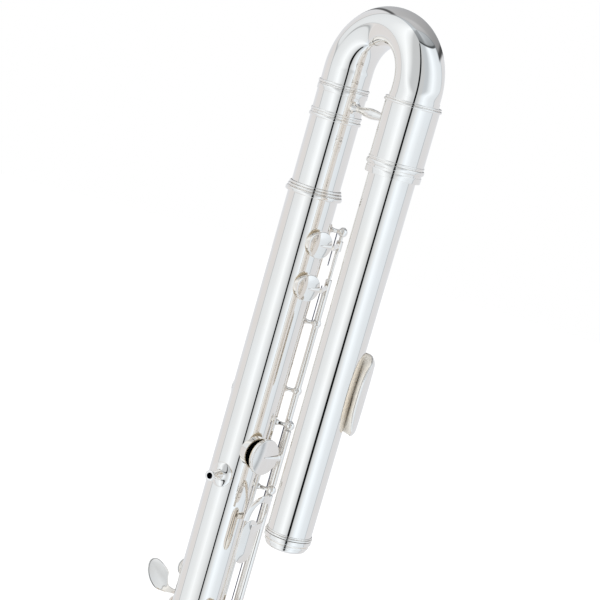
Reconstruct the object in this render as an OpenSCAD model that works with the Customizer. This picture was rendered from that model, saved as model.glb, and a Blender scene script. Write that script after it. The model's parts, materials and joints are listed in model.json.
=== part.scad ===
// Bass flute with a bent head joint, body, foot joint and closed-hole keywork.
// +Z runs along the body bore from the foot's open end to the bend.
// -Y is the side that the main tone holes face. Angles are degrees about +Z from +X.

/* [Tubes] */
// Outside diameter of the body and foot tubes
body_d = 34.1; // [33.6:0.1:35]
// Wall thickness of the body and foot tubes
body_wall = 0.5; // [0.4:0.05:0.7]
// Outside diameter of the bent crook tube
crook_d = 31.5; // [31.2:0.1:32]
// Outside diameter of the head tube where it enters the crook
head_d = 31; // [30.2:0.1:31.4]
// Outside diameter of the head tube at the crown
head_end_d = 29.8; // [29:0.1:30]
// Wall thickness of the crook and head tubes
head_wall = 0.45; // [0.35:0.05:0.6]
// Distance between the body axis and the head axis
leg_spacing = 68; // [62:0.5:76]
// Radial running clearance of each tenon
tenon_gap = 0.04; // [0.02:0.01:0.08]

/* [Lengths along the bore] */
// Height of the start of the bend above the foot's open end
bend_z = 896; // [892:1:910]
// Height of the top of the body tube
body_top_z = 816; // [812:1:820]
// Height of the step in the foot's socket, below the body tube's end
foot_joint_z = 232; // [230:0.5:234]
// Length of the foot's socket
foot_socket_l = 30; // [26:0.5:31]
// Length of crook tenon held inside the body tube
tenon_l = 24; // [18:0.5:25]
// Height of the crown end of the head tube
head_low_z = 598; // [592:1:602]
// Height of the centre of the embouchure hole
embouchure_z = 701; // [695:1:706]
// Length of head tube held inside the crook's receiver
head_tenon_l = 42; // [34:0.5:43]

/* [Tone holes] */
// Radius of the main tone holes
hole_r = 10.2; // [9.4:0.1:10.6]
// Radius of the trill and C sharp tone holes
small_hole_r = 6.6; // [6:0.1:7]
// Height of the tone hole rims above the tube surface
rim_h = 2.6; // [2.2:0.1:3]
// Wall thickness of the tone hole chimneys
chimney_wall = 0.7; // [0.6:0.05:0.9]

/* [Keys] */
// Outside radius of the main key cups
cup_r = 12.5; // [12.2:0.1:12.8]
// Outside radius of the small key cups
small_cup_r = 9.2; // [8.8:0.1:9.6]
// Thickness of the key pads
pad_t = 2.6; // [2.2:0.1:3]
// Gap left under a closed pad
seat_gap = 0.05; // [0.04:0.01:0.1]
// Wall thickness of the cups
cup_wall = 0.8; // [0.6:0.05:1]
// Height of the shallow dome on each cup
cup_dome = 1; // [0.6:0.1:1.4]
// Angle that an open key stands at
key_open = 11; // [8:0.5:12]
// Width of the thumb plate
thumb_plate_w = 14.6; // [12:0.1:16]
// Width of the thumb B flat lever's plate
lever_plate_w = 15; // [12:0.1:16]
// Width of the key arms along the bore
arm_w = 5; // [4:0.25:6]
// Thickness of the key arms
arm_t = 1.7; // [1.4:0.1:2.2]

/* [Rods and posts] */
// Distance from the bore axis to the main rod line
rod_line_r = 27.5; // [27:0.25:28.5]
// Diameter of the steel rods
rod_d = 2.5; // [2:0.1:2.8]
// Outside diameter of the hinge tubes
hinge_d = 4.6; // [4.4:0.1:5]
// Radial running clearance of a hinge tube on its rod
hinge_gap = 0.05; // [0.03:0.01:0.08]
// Diameter of the ball at the top of each post
ball_d = 6.6; // [6.2:0.1:7]
// Thickness of the ribs that carry the posts
rib_t = 0.9; // [0.6:0.1:1.2]
// Width of the ribs
rib_w = 4.4; // [3.8:0.1:4.8]
// Axial gap between neighbours on a rod
end_play = 0.2; // [0.1:0.05:0.3]
// Diameter of the needle springs
spring_d = 0.7; // [0.5:0.1:0.9]

/* [Lip plate and head fittings] */
// Length of the lip plate along the head
lip_l = 57; // [52:0.5:60]
// Width of the lip plate across the head
lip_w = 36.4; // [34:0.2:37]
// Outside radius of curvature of the lip plate
lip_r = 18.9; // [18.8:0.1:19.6]
// Height of the lip plate above the head tube
lip_h = 8; // [7:0.25:9]
// Thickness of the lip plate
lip_t = 1.2; // [1:0.1:1.5]
// Length of the embouchure hole across the head
embouchure_w = 14; // [12:0.5:15]
// Length of the embouchure hole along the head
embouchure_l = 12; // [11:0.5:13]
// Height of the crown
crown_h = 10.5; // [9:0.5:12]
// Distance from the embouchure centre to the stopper face
stopper_d = 26; // [22:0.5:30]
// Length of the stopper cork
cork_l = 20; // [16:1:24]

/* [Hand rest socket] */
// Bore diameter of the hand rest socket
socket_bore_d = 4.2; // [3.8:0.1:4.6]
// Outside diameter of the hand rest socket
socket_d = 6.6; // [6.2:0.1:7.2]
// Height of the hand rest socket above the body tube
socket_h = 14; // [12:0.5:16]
// Depth of the hand rest socket bore
socket_bore_l = 11; // [9:0.5:11]

/* [Hidden] */
$fn = 64;

// Heights that follow from the lengths
receiver_top_z = bend_z - 3;
receiver_z = receiver_top_z - head_tenon_l - 10;
left_leg_z = bend_z - 31;
right_leg_z = receiver_top_z - 8;
tenon_low_z = body_top_z - tenon_l;
tenon_top_z = bend_z - 12;
brace_z = receiver_top_z - 18.5;
body_low_z = foot_joint_z + 3;
beyond = bend_z * 2;

// Radii worked out from the diameters
body_r = body_d / 2;
bore_r = body_r - body_wall;
crook_r = crook_d / 2;
head_r = head_d / 2;
head_end_r = head_end_d / 2;
rod_r = rod_d / 2;
hinge_r = hinge_d / 2;
hinge_bore_r = rod_r + hinge_gap;
ball_r = ball_d / 2;
tenon_r = bore_r - tenon_gap;
liner_bore_r = head_r + tenon_gap;
liner_r = max(crook_r, liner_bore_r) + 0.8;
sleeve_r = liner_r + 1.35;
// Film of solder between two fixed tubes
solder = 0.02;

// Directions about the bore
front_a = -90;
main_rod_a = front_a + 46;
trill_rod_a = front_a + 66;
back_hole_a = front_a + 157;
back_rod_a = back_hole_a - 45;
left_rod_a = front_a - 49;
left_hole_a = front_a - 95;
foot_left_rod_a = front_a - 46;
head_a = front_a + 4;
lip_a = front_a + 72;
socket_a = front_a - 67;
head_x = leg_spacing * cos(head_a);
head_y = leg_spacing * sin(head_a);

// Distances of the other rod lines
trill_line_r = rod_line_r - 1;
back_line_r = rod_line_r - 0.5;

// Heights of the tone holes
low_c_z = 82;
foot_c_sharp_z = 152;
foot_d_sharp_z = foot_joint_z - 14;
d_z = foot_joint_z + 48;
e_z = 330;
f_z = 374;
f_sharp_z = 409;
g_sharp_z = 486;
g_low_z = 438;
g_z = 487;
a_z = 516;
b_flat_z = 636;
thumb_b_z = 668;
c_sharp_z = 719;
d_trill_z = 753;
d_sharp_trill_z = 782.5;
front_holes = [d_z, e_z, f_z, f_sharp_z, g_low_z, g_z, a_z, b_flat_z];
foot_holes = [low_c_z, foot_c_sharp_z, foot_d_sharp_z];

// Heights of the posts on each rod line
main_posts = [d_z - 14, (f_z + f_sharp_z) / 2, (f_sharp_z + g_low_z) / 2, b_flat_z - 24.5, b_flat_z + 21.5];
trill_end_posts = [g_low_z, d_sharp_trill_z + 9.5];
trill_tube_posts = [a_z + 49, c_sharp_z - 39, d_trill_z - 25];
back_end_posts = [thumb_b_z - 168, c_sharp_z + 13];
back_tube_post = thumb_b_z - 56;
left_posts = [g_sharp_z - 25, g_sharp_z + 9];
foot_end_posts = [low_c_z - 16, foot_joint_z + 20];
foot_tube_post = foot_d_sharp_z - 28;
foot_left_posts = [foot_d_sharp_z - 15, foot_d_sharp_z + 23];
d_e_z = (d_z + e_z) / 2;
e_f_z = (e_z + f_z) / 2;
g_a_z = (g_z + a_z) / 2;
hand_rest_z = 615.5;

// Cup heights above the axis
rim_r = body_r + rim_h;
cup_top_t = 1;
cup_top_r = rim_r + seat_gap + pad_t + cup_top_t;
pad_stand = 1;

metal = "silver";

// Places
module station(z, a) {
    translate([0, 0, z]) rotate([0, 0, a]) children();
}
module radial(x) {
    translate([x, 0, 0]) rotate([0, 90, 0]) children();
}
module on_head() {
    translate([head_x, head_y, 0]) children();
}
function line_point(r, a) = [r * cos(a), r * sin(a), 0];
module turned(r, a, turn) {
    translate(line_point(r, a)) rotate([0, 0, turn]) translate(-line_point(r, a)) children();
}

// Tube with its lower end at z
module pipe(z, h, r_out, r_in) {
    translate([0, 0, z]) difference() {
        cylinder(h = h, r = r_out);
        translate([0, 0, -1]) cylinder(h = h + 2, r = r_in);
    }
}

// Rounded bead ring of half height b round a tube
module bead(z, r_in, r_out, b) {
    c = b * 0.45;
    translate([0, 0, z]) rotate_extrude()
        polygon([[r_in, -b], [r_out - c, -b], [r_out, -b + c], [r_out, b - c], [r_out - c, b], [r_in, b]]);
}

// Tone hole chimneys drawn up from the wall, and the holes through them
module chimney(z, a, r) {
    station(z, a) radial(body_r - 3.6) cylinder(h = rim_r - body_r + 3.6, r = r + chimney_wall);
}
module hole_cut(z, a, r) {
    station(z, a) radial(2) cylinder(h = rim_r, r = r);
}

module body_tube() {
    color(metal) difference() {
        union() {
            translate([0, 0, body_low_z]) cylinder(h = body_top_z - body_low_z, r = body_r);
            for (z = front_holes) chimney(z, front_a, hole_r);
            for (z = [d_trill_z, d_sharp_trill_z]) chimney(z, front_a, small_hole_r);
            chimney(g_sharp_z, left_hole_a, hole_r);
            chimney(thumb_b_z, back_hole_a, hole_r);
            chimney(c_sharp_z, back_hole_a, small_hole_r);
        }
        translate([0, 0, foot_joint_z]) cylinder(h = body_top_z - foot_joint_z + 1, r = bore_r);
        for (z = front_holes) hole_cut(z, front_a, hole_r);
        for (z = [d_trill_z, d_sharp_trill_z]) hole_cut(z, front_a, small_hole_r);
        hole_cut(g_sharp_z, left_hole_a, hole_r);
        hole_cut(thumb_b_z, back_hole_a, hole_r);
        hole_cut(c_sharp_z, back_hole_a, small_hole_r);
    }
}

module body_rings() {
    color(metal) {
        pipe(body_top_z, 2, body_r + 0.7, bore_r);
        pipe(body_top_z - 5, 5, body_r + 0.7, body_r + solder);
        bead(body_top_z - 3.5, body_r + 0.6, body_r + 2.2, 1.6);
    }
}

module rib(a, z_low, z_high, tube_r = body_r) {
    station(z_low, a) intersection() {
        pipe(0, z_high - z_low, tube_r + rib_t, tube_r + solder);
        translate([0, -rib_w / 2, -1]) cube([body_r * 2, rib_w, z_high - z_low + 2]);
    }
}

// Clears a chimney that stands beside a rib
module chimney_room(z, a, r) {
    station(z, a) radial(0) cylinder(h = body_d, r = r + chimney_wall + solder);
}

module body_ribs() {
    rib_over = 3.5;
    color(metal) difference() {
        union() {
        rib(main_rod_a, main_posts[0] - rib_over, main_posts[4] + rib_over);
        rib(trill_rod_a, trill_end_posts[0] - rib_over, trill_end_posts[1] + rib_over);
        rib(back_rod_a, back_end_posts[0] - rib_over, back_end_posts[1] + rib_over);
        rib(left_rod_a, left_posts[0] - rib_over, left_posts[1] + rib_over);
        }
        for (z = front_holes) chimney_room(z, front_a, hole_r);
        chimney_room(g_sharp_z, left_hole_a, hole_r);
        chimney_room(thumb_b_z, back_hole_a, hole_r);
    }
}

// Turned post with a ball round the rod; the bore fits a rod or a hinge tube
module post(z, a, line_r, bore, tube_r = body_r) {
    foot_r = tube_r + rib_t + solder;
    h = line_r - foot_r;
    station(z, a) difference() {
        union() {
            radial(foot_r) rotate_extrude()
                polygon([[0, 0], [2.1, 0], [2.1, 0.8], [1.5, 1.6], [1.3, h * 0.5], [1.7, h], [0, h]]);
            translate([line_r, 0, 0]) sphere(r = ball_r);
        }
        translate([line_r, 0, -ball_r - 1]) cylinder(h = ball_d + 2, r = bore);
    }
}

module body_posts() {
    color(metal) {
        for (z = main_posts) post(z, main_rod_a, rod_line_r, rod_r + solder);
        for (z = trill_end_posts) post(z, trill_rod_a, trill_line_r, hinge_bore_r);
        for (z = trill_tube_posts) post(z, trill_rod_a, trill_line_r, hinge_r + hinge_gap);
        for (z = back_end_posts) post(z, back_rod_a, back_line_r, hinge_bore_r);
        post(back_tube_post, back_rod_a, back_line_r, hinge_r + hinge_gap);
        for (z = left_posts) post(z, left_rod_a, rod_line_r, rod_r + solder);
    }
}

module steel_rod(a, line_r, z_low, z_high) {
    station(z_low, a) translate([line_r, 0, 0]) cylinder(h = z_high - z_low, r = rod_r);
}

module body_rods() {
    color("lightsteelblue") {
        steel_rod(main_rod_a, rod_line_r, main_posts[0] - ball_r, main_posts[2] - 0.2);
        steel_rod(main_rod_a, rod_line_r, main_posts[2] + 0.2, main_posts[4] + ball_r);
        steel_rod(left_rod_a, rod_line_r, left_posts[0] - ball_r, left_posts[1] + ball_r);
    }
}

// Needle spring set in a post, running beside the rod
spring_drop = hinge_r + 1.3;
module needle_spring(z, a, line_r, len) {
    station(z, a) translate([line_r - spring_drop, 0, min(0, len)]) cylinder(h = abs(len), r = spring_d / 2);
}

module body_springs() {
    color("steelblue") {
        for (s = [[0, 30], [1, -32], [1, 13], [2, -11], [2, 38], [3, -36], [3, 26], [4, -24]])
            needle_spring(main_posts[s[0]], main_rod_a, rod_line_r, s[1]);
        needle_spring(trill_end_posts[1], trill_rod_a, trill_line_r, -24);
        needle_spring(trill_tube_posts[2], trill_rod_a, trill_line_r, 26);
        needle_spring(trill_tube_posts[0], trill_rod_a, trill_line_r, -40);
        needle_spring(back_end_posts[1], back_rod_a, back_line_r, -26);
        needle_spring(back_tube_post, back_rod_a, back_line_r, 34);
        needle_spring(left_posts[0], left_rod_a, rod_line_r, 20);
    }
}

module hand_rest_socket() {
    base_t = 1.2;
    color(metal) station(hand_rest_z, socket_a) difference() {
        union() {
            radial(body_r - 1) cylinder(h = socket_h + 1, r = socket_d / 2);
            radial(body_r + socket_h - 1.6) cylinder(h = 1.6, r = socket_d / 2 + 0.5);
            intersection() {
                pipe(-12, 24, body_r + base_t, body_r + solder);
                radial(0) linear_extrude(height = body_d) union() {
                    square([12, 11], center = true);
                    for (s = [-1, 1]) translate([s * 6, 0]) circle(d = 11);
                }
            }
        }
        cylinder(h = 60, r = body_r + solder, center = true);
        radial(body_r + socket_h - socket_bore_l) cylinder(h = socket_bore_l + 1, r = socket_bore_d / 2);
    }
}

socket_end_z = foot_joint_z + foot_socket_l;
socket_r = body_r + tenon_gap;
socket_outer_r = socket_r + 0.8;

module foot_tube() {
    color(metal) difference() {
        union() {
            cylinder(h = foot_joint_z, r = body_r);
            translate([0, 0, foot_joint_z - 3]) cylinder(h = foot_socket_l + 3, r = socket_outer_r);
            for (z = foot_holes) chimney(z, front_a, hole_r);
        }
        translate([0, 0, -1]) cylinder(h = foot_joint_z + 2, r = bore_r);
        translate([0, 0, foot_joint_z]) cylinder(h = foot_socket_l + 1, r = socket_r);
        for (z = foot_holes) hole_cut(z, front_a, hole_r);
    }
}

module foot_rings() {
    color(metal) {
        bead(1.8, body_r + solder, body_r + 1.7, 1.8);
        bead(socket_end_z - 2, socket_outer_r + solder, body_r + 2.4, 1.8);
    }
}

module foot_ribs() {
    color(metal) difference() {
        union() {
            rib(main_rod_a, foot_end_posts[0] - 4, foot_joint_z - 3.5);
            rib(foot_left_rod_a, foot_left_posts[0] - 4, foot_joint_z - 3.5);
            for (a = [main_rod_a, foot_left_rod_a]) rib(a, foot_joint_z - 2.8, socket_end_z - 4.5, socket_outer_r);
        }
        for (z = foot_holes) chimney_room(z, front_a, hole_r);
    }
}

module foot_posts() {
    color(metal) {
        post(foot_end_posts[0], main_rod_a, rod_line_r, hinge_bore_r);
        post(foot_end_posts[1], main_rod_a, rod_line_r, hinge_bore_r, socket_outer_r);
        post(foot_tube_post, main_rod_a, rod_line_r, hinge_r + hinge_gap);
        post(foot_left_posts[0], foot_left_rod_a, rod_line_r, rod_r + solder);
        post(foot_left_posts[1], foot_left_rod_a, rod_line_r, rod_r + solder, socket_outer_r);
    }
}

module foot_rod() {
    color("lightsteelblue")
        steel_rod(foot_left_rod_a, rod_line_r, foot_left_posts[0] - ball_r, foot_left_posts[1] + ball_r);
}

module foot_springs() {
    color("steelblue") {
        needle_spring(foot_end_posts[0], main_rod_a, rod_line_r, 26);
        needle_spring(foot_tube_post, main_rod_a, rod_line_r, -30);
        needle_spring(foot_left_posts[0], foot_left_rod_a, rod_line_r, 24);
    }
}

// Crook: two straight legs joined by a half-round bend
leg_step = 0.02;
module crook_bend(r) {
    span = leg_spacing + 4 * crook_r;
    translate([head_x / 2, head_y / 2, bend_z]) rotate([0, 0, head_a]) difference() {
        rotate([90, 0, 0]) rotate_extrude() translate([leg_spacing / 2, 0]) circle(r = r);
        translate([-span / 2, -span / 2, -span]) cube(span);
    }
}
module crook_legs(r, over) {
    translate([0, 0, left_leg_z - over]) cylinder(h = bend_z - left_leg_z + over, r = r);
    on_head() translate([0, 0, right_leg_z - over]) cylinder(h = bend_z - right_leg_z + over, r = r);
}
module crook_tube() {
    bore_r = crook_r - head_wall;
    color(metal) difference() {
        union() {
            crook_bend(crook_r);
            crook_legs(crook_r - leg_step, 0);
        }
        crook_bend(bore_r);
        crook_legs(bore_r - leg_step, 1);
    }
}

module crook_tenon() {
    color(metal) difference() {
        translate([0, 0, tenon_low_z]) cylinder(h = tenon_top_z - tenon_low_z, r = tenon_r);
        translate([0, 0, tenon_low_z - 1]) cylinder(h = left_leg_z - tenon_low_z + 1, r = crook_r - head_wall);
        translate([0, 0, left_leg_z - 1]) cylinder(h = tenon_top_z - left_leg_z + 2, r = crook_r + solder);
    }
}

module crook_tenon_rings() {
    ring_z = tenon_top_z - 20;
    color(metal) {
        bead(ring_z, tenon_r + solder, tenon_r + 1.1, 1.5);
        pipe(ring_z + 1.5, 2.8, tenon_r + 0.5, tenon_r + solder);
        pipe(tenon_top_z - 3.6, 3.6, tenon_r + 0.55, tenon_r + solder);
        bead(tenon_top_z + 1.5, crook_r + solder, tenon_r + 0.8, 1.5);
    }
}

// Receiver for the head tube: a bored liner in a plain sleeve with a ring at each end
module receiver_liner() {
    stop_z = receiver_z + head_tenon_l + 1;
    color(metal) on_head() difference() {
        translate([0, 0, receiver_z]) cylinder(h = receiver_top_z - receiver_z, r = liner_r);
        translate([0, 0, receiver_z - 1]) cylinder(h = stop_z - receiver_z, r = liner_bore_r);
        translate([0, 0, stop_z - 2]) cylinder(h = right_leg_z - stop_z + 3, r = head_r - head_wall);
        translate([0, 0, right_leg_z]) cylinder(h = receiver_top_z - right_leg_z + 1, r = crook_r + solder);
    }
}

module receiver_sleeve() {
    color(metal) on_head() pipe(receiver_z, receiver_top_z - receiver_z - 2.5, sleeve_r, liner_r + solder);
}

module receiver_rings() {
    color(metal) on_head() {
        bead(receiver_top_z - 4.2, sleeve_r + solder, sleeve_r + 1.1, 1.5);
        bead(receiver_z + 7, sleeve_r + solder, sleeve_r + 1.1, 1.7);
        pipe(receiver_top_z - 2.4, 2.4, liner_r + 0.6, liner_r + solder);
    }
}

// Turned strut between the crook's tenon and the receiver
module crook_brace() {
    low = tenon_r + 0.05;
    high = leg_spacing - sleeve_r - 0.05;
    mid = (low + high) / 2;
    span = high - low;
    color(metal) difference() {
        station(brace_z, head_a) radial(low - 2) rotate_extrude()
            polygon([[0, 0], [4.4, 0], [4.4, 3], [3.4, 3.6], [2.1, 5.2], [2.1, 7], [3.2, span * 0.38 + 2],
                     [3.5, mid - low + 2], [3.2, span * 0.62 + 2], [2.1, span - 3], [2.1, span - 1.2],
                     [3.4, span + 0.4], [4.4, span + 1], [4.4, span + 4], [0, span + 4]]);
        cylinder(h = beyond, r = low);
        on_head() cylinder(h = beyond, r = sleeve_r + 0.05);
    }
}

// Head joint
taper_z = receiver_z - 4;
module head_profile(inset, low, high) {
    translate([0, 0, low]) cylinder(h = taper_z - low, r1 = head_end_r - inset, r2 = head_r - inset);
    translate([0, 0, taper_z - 0.01]) cylinder(h = high - taper_z, r = head_r - inset);
}

module embouchure_cut(grow, x0, x1) {
    c = 4 + grow;
    w = embouchure_w / 2 + grow;
    l = embouchure_l / 2 + grow;
    translate([0, 0, embouchure_z]) rotate([0, 0, lip_a]) radial(x0) linear_extrude(height = x1 - x0) union() {
        square([l * 2, (w - c) * 2], center = true);
        square([(l - c) * 2, w * 2], center = true);
        for (i = [-1, 1], j = [-1, 1]) translate([i * (l - c), j * (w - c)]) circle(r = c);
    }
}

module head_tube() {
    color(metal) on_head() difference() {
        head_profile(0, head_low_z, receiver_z + head_tenon_l);
        head_profile(head_wall, head_low_z - 0.5, receiver_z + head_tenon_l + 1);
        embouchure_cut(0.05, 4, 40);
    }
}

module head_band() {
    color(metal) on_head() {
        bead(head_low_z + 1.5, head_end_r + 0.05, head_end_r + 1, 1.4);
    }
}

riser_wall = 1.4;
plate_x = head_r + lip_h - lip_r;
module lip_outline() {
    // Oval with the width across the head and the length along it
    polygon([for (i = [0:5:355]) [lip_l / 2 * cos(i), lip_w / 2 * sign(sin(i)) * pow(abs(sin(i)), 0.86)]]);
}

module lip_plate() {
    color(metal) on_head() difference() {
        translate([0, 0, embouchure_z]) rotate([0, 0, lip_a]) intersection() {
            translate([plate_x, 0, 0]) pipe(-lip_l, lip_l * 2, lip_r, lip_r - lip_t);
            radial(plate_x) linear_extrude(height = 40) lip_outline();
        }
        embouchure_cut(0, 4, 60);
    }
}

module embouchure_riser() {
    color(metal) on_head() difference() {
        embouchure_cut(riser_wall, head_end_r - 2, head_r + lip_h + 5);
        embouchure_cut(0, 4, 60);
        // Top and bottom are cut to the curves of the plate and the tube
        rotate([0, 0, lip_a]) translate([plate_x, 0, 0]) difference() {
            translate([0, -40, 0]) cube([80, 80, beyond]);
            translate([0, 0, -1]) cylinder(h = beyond + 2, r = lip_r - lip_t - 0.02);
        }
        cylinder(h = beyond, r = head_r + solder);
    }
}

// Crown that turns on the stopper screw
screw_r = 2;
module crown() {
    r = head_end_r;
    color(metal) on_head() translate([0, 0, head_low_z - 0.1 - crown_h]) difference() {
        rotate_extrude() polygon([[0, 0], [r * 0.5, 0.35], [r * 0.72, 1.1], [r * 0.86, 2.3], [r * 0.92, 3.8],
            [r * 0.92, 4.6], [r * 0.98, 4.9], [r * 0.98, 6.4], [r * 0.93, 6.7], [r * 0.93, 7.3],
            [r + 0.8, 7.8], [r + 0.8, crown_h], [0, crown_h]]);
        translate([0, 0, 3]) cylinder(h = crown_h, r = screw_r + 0.05);
    }
}

stopper_z = embouchure_z - stopper_d;
plate_t = 1.2;
cork_r = head_end_r + (head_r - head_end_r) * (stopper_z - cork_l - head_low_z) / (taper_z - head_low_z)
    - head_wall - 0.08;
module stopper_cork() {
    color("tan") on_head() pipe(stopper_z - plate_t - cork_l, cork_l, cork_r, screw_r + solder);
}

module stopper_screw() {
    color(metal) on_head() {
        translate([0, 0, stopper_z - plate_t]) cylinder(h = plate_t, r = cork_r - 0.4);
        translate([0, 0, stopper_z - plate_t * 2 - cork_l]) cylinder(h = plate_t, r = cork_r - 0.4);
        translate([0, 0, head_low_z - 4.5]) cylinder(h = stopper_z - head_low_z + 4, r = screw_r);
    }
}

// Keys: a cup over its hole, an arm, and a hinge tube or a shaft on the rod line
module cup(z, a, r) {
    station(z, a) radial(rim_r + seat_gap) difference() {
        rotate_extrude() polygon([[0, pad_stand], [r - 0.3, pad_stand], [r, pad_stand + 0.3],
            [r, pad_t + cup_top_t - 0.7], [r - 0.7, pad_t + cup_top_t], [r * 0.8, pad_t + cup_top_t + 0.1],
            [r * 0.45, pad_t + cup_top_t + cup_dome * 0.75], [0, pad_t + cup_top_t + cup_dome]]);
        translate([0, 0, -1]) cylinder(h = pad_t + 1, r = r - cup_wall);
    }
}
module pad(z, a, r) {
    color("wheat") station(z, a) radial(rim_r + seat_gap) cylinder(h = pad_t, r = r - cup_wall - 0.05);
}
// Arm from the top of a cup to a rod that lies rod_da degrees away
module arm(z, a, r, rod_da, line_r) {
    p = line_point(line_r, rod_da);
    s = sign(rod_da);
    t = cup_top_r + cup_dome * 0.4;
    station(z - arm_w / 2, a) linear_extrude(height = arm_w)
        polygon([[t - 0.6, -s * r * 0.3], [t + arm_t * 0.7, -s * r * 0.2], [t + arm_t, s * r * 0.7],
                 [p[0] + hinge_r * 0.9, p[1]], [p[0] - hinge_r * 0.6, p[1] - s],
                 [t - arm_t * 1.3, s * (r + 0.8)], [t - 0.6, s * (r - 1)]]);
}
module rod_cylinder(a, line_r, z_low, z_high, r) {
    station(z_low, a) translate([line_r, 0, 0]) cylinder(h = z_high - z_low, r = r);
}
// Joins the children to a hinge tube and bores it through
module on_tube(a, line_r, z_low, z_high) {
    color(metal) difference() {
        union() {
            children();
            rod_cylinder(a, line_r, z_low, z_high, hinge_r);
        }
        rod_cylinder(a, line_r, z_low - 1, z_high + 1, hinge_bore_r);
    }
}
// Joins the children to a shaft that turns in its end posts, with a collar under each arm
module on_shaft(a, line_r, posts, arms) {
    color(metal) {
        children();
        rod_cylinder(a, line_r, posts[0] - ball_r, posts[1] + ball_r, rod_r);
        for (z = arms) rod_cylinder(a, line_r, z - arm_w / 2 - 1, z + arm_w / 2 + 1, hinge_r);
    }
}
// Finger piece: an oval plate at radius r, angle a, with length l along the bore
module touch(z, a, r, l, w) {
    station(z, a) radial(r) linear_extrude(height = bar_t) union() {
        square([l - w, w], center = true);
        for (s = [-1, 1]) translate([s * (l - w) / 2, 0]) circle(d = w);
    }
}
// Curved bar about the bore axis from one angle to another
bar_t = 1.8;
bar_step = 6;
module bar(z, r, a0, a1) {
    turn = a1 - a0;
    count = ceil(turn / bar_step);
    inner = [for (i = [0 : count]) r * [cos(turn * i / count), sin(turn * i / count)]];
    outer = [for (i = [count : -1 : 0]) (r + bar_t) * [cos(turn * i / count), sin(turn * i / count)]];
    station(z - arm_w / 2, a0) linear_extrude(height = arm_w) polygon(concat(inner, outer));
}

// Main line, where the keys stand open
main_da = main_rod_a - front_a;
after_post = ball_r + end_play;
module on_main(z_low, z_high) {
    turned(rod_line_r, main_rod_a, key_open) on_tube(main_rod_a, rod_line_r, z_low, z_high) children();
}
module main_cup(z) {
    cup(z, front_a, cup_r);
    arm(z, front_a, cup_r, main_da, rod_line_r);
}
module main_pad(z) {
    turned(rod_line_r, main_rod_a, key_open) pad(z, front_a, cup_r);
}

module d_key() { on_main(main_posts[0] + after_post, d_e_z - end_play / 2) main_cup(d_z); }
module e_key() { on_main(d_e_z + end_play / 2, e_f_z - end_play / 2) main_cup(e_z); }
module f_key() { on_main(e_f_z + end_play / 2, main_posts[1] - after_post) main_cup(f_z); }
module f_sharp_key() { on_main(main_posts[1] + after_post, main_posts[2] - after_post) main_cup(f_sharp_z); }
module g_key() {
    on_main(main_posts[2] + after_post, g_a_z - end_play / 2) {
        main_cup(g_z);
        main_cup(g_low_z);
    }
}
module a_key() {
    // The touch stands over the bare tube, well above the cup
    paddle_z = a_z + 61.5;
    paddle_r = rod_line_r - 1.3;
    on_main(g_a_z + end_play / 2, main_posts[3] - after_post) {
        main_cup(a_z);
        bar(paddle_z + 10, paddle_r, front_a, main_rod_a);
        touch(paddle_z, front_a, paddle_r, 31, 12);
    }
}
module b_flat_key() { on_main(main_posts[3] + after_post, main_posts[4] - after_post) main_cup(b_flat_z); }
module d_pad() { main_pad(d_z); }
module e_pad() { main_pad(e_z); }
module f_pad() { main_pad(f_z); }
module f_sharp_pad() { main_pad(f_sharp_z); }
module g_pads() { for (z = [g_z, g_low_z]) main_pad(z); }
module a_pad() { main_pad(a_z); }
module b_flat_pad() { main_pad(b_flat_z); }

// G sharp key, held closed by its spring, on its own rod at the left
module g_sharp_key() {
    z_low = left_posts[0] + after_post;
    touch_r = rod_line_r + 0.6;
    on_tube(left_rod_a, rod_line_r, z_low, left_posts[1] - after_post) {
        cup(g_sharp_z, left_hole_a, cup_r);
        arm(g_sharp_z, left_hole_a, cup_r, left_rod_a - left_hole_a, rod_line_r);
        bar(z_low + 3, touch_r, left_rod_a, left_rod_a + 20);
        touch(z_low - 2, left_rod_a + 24, touch_r, 22, 9);
    }
}
module g_sharp_pad() { pad(g_sharp_z, left_hole_a, cup_r); }

// Trill keys, held closed; the D sharp shaft runs inside the D tube
trill_da = trill_rod_a - front_a;
d_trill_low_z = trill_end_posts[0] + 14;
d_trill_high_z = d_trill_z + 6;
module trill_cup(z) {
    cup(z, front_a, small_cup_r);
    arm(z, front_a, small_cup_r, trill_da, trill_line_r);
}
module trill_lever(z) {
    bar(z, trill_line_r - 1, trill_rod_a, trill_rod_a + 26);
    touch(z, trill_rod_a + 31, trill_line_r - 1, 11, 8);
}
module d_sharp_trill_key() {
    lever_z = trill_end_posts[0] + after_post + 4;
    on_shaft(trill_rod_a, trill_line_r, trill_end_posts, [lever_z, d_sharp_trill_z]) {
        trill_cup(d_sharp_trill_z);
        trill_lever(lever_z);
    }
}
module d_trill_key() {
    on_tube(trill_rod_a, trill_line_r, d_trill_low_z, d_trill_high_z) {
        trill_cup(d_trill_z);
        trill_lever(d_trill_low_z + 8);
    }
}
module d_sharp_trill_pad() { pad(d_sharp_trill_z, front_a, small_cup_r); }
module d_trill_pad() { pad(d_trill_z, front_a, small_cup_r); }

// Back keys, which stand open; the C sharp shaft runs inside the thumb key's tube
back_da = back_rod_a - back_hole_a;
back_bar_r = back_line_r + 0.8;
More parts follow.
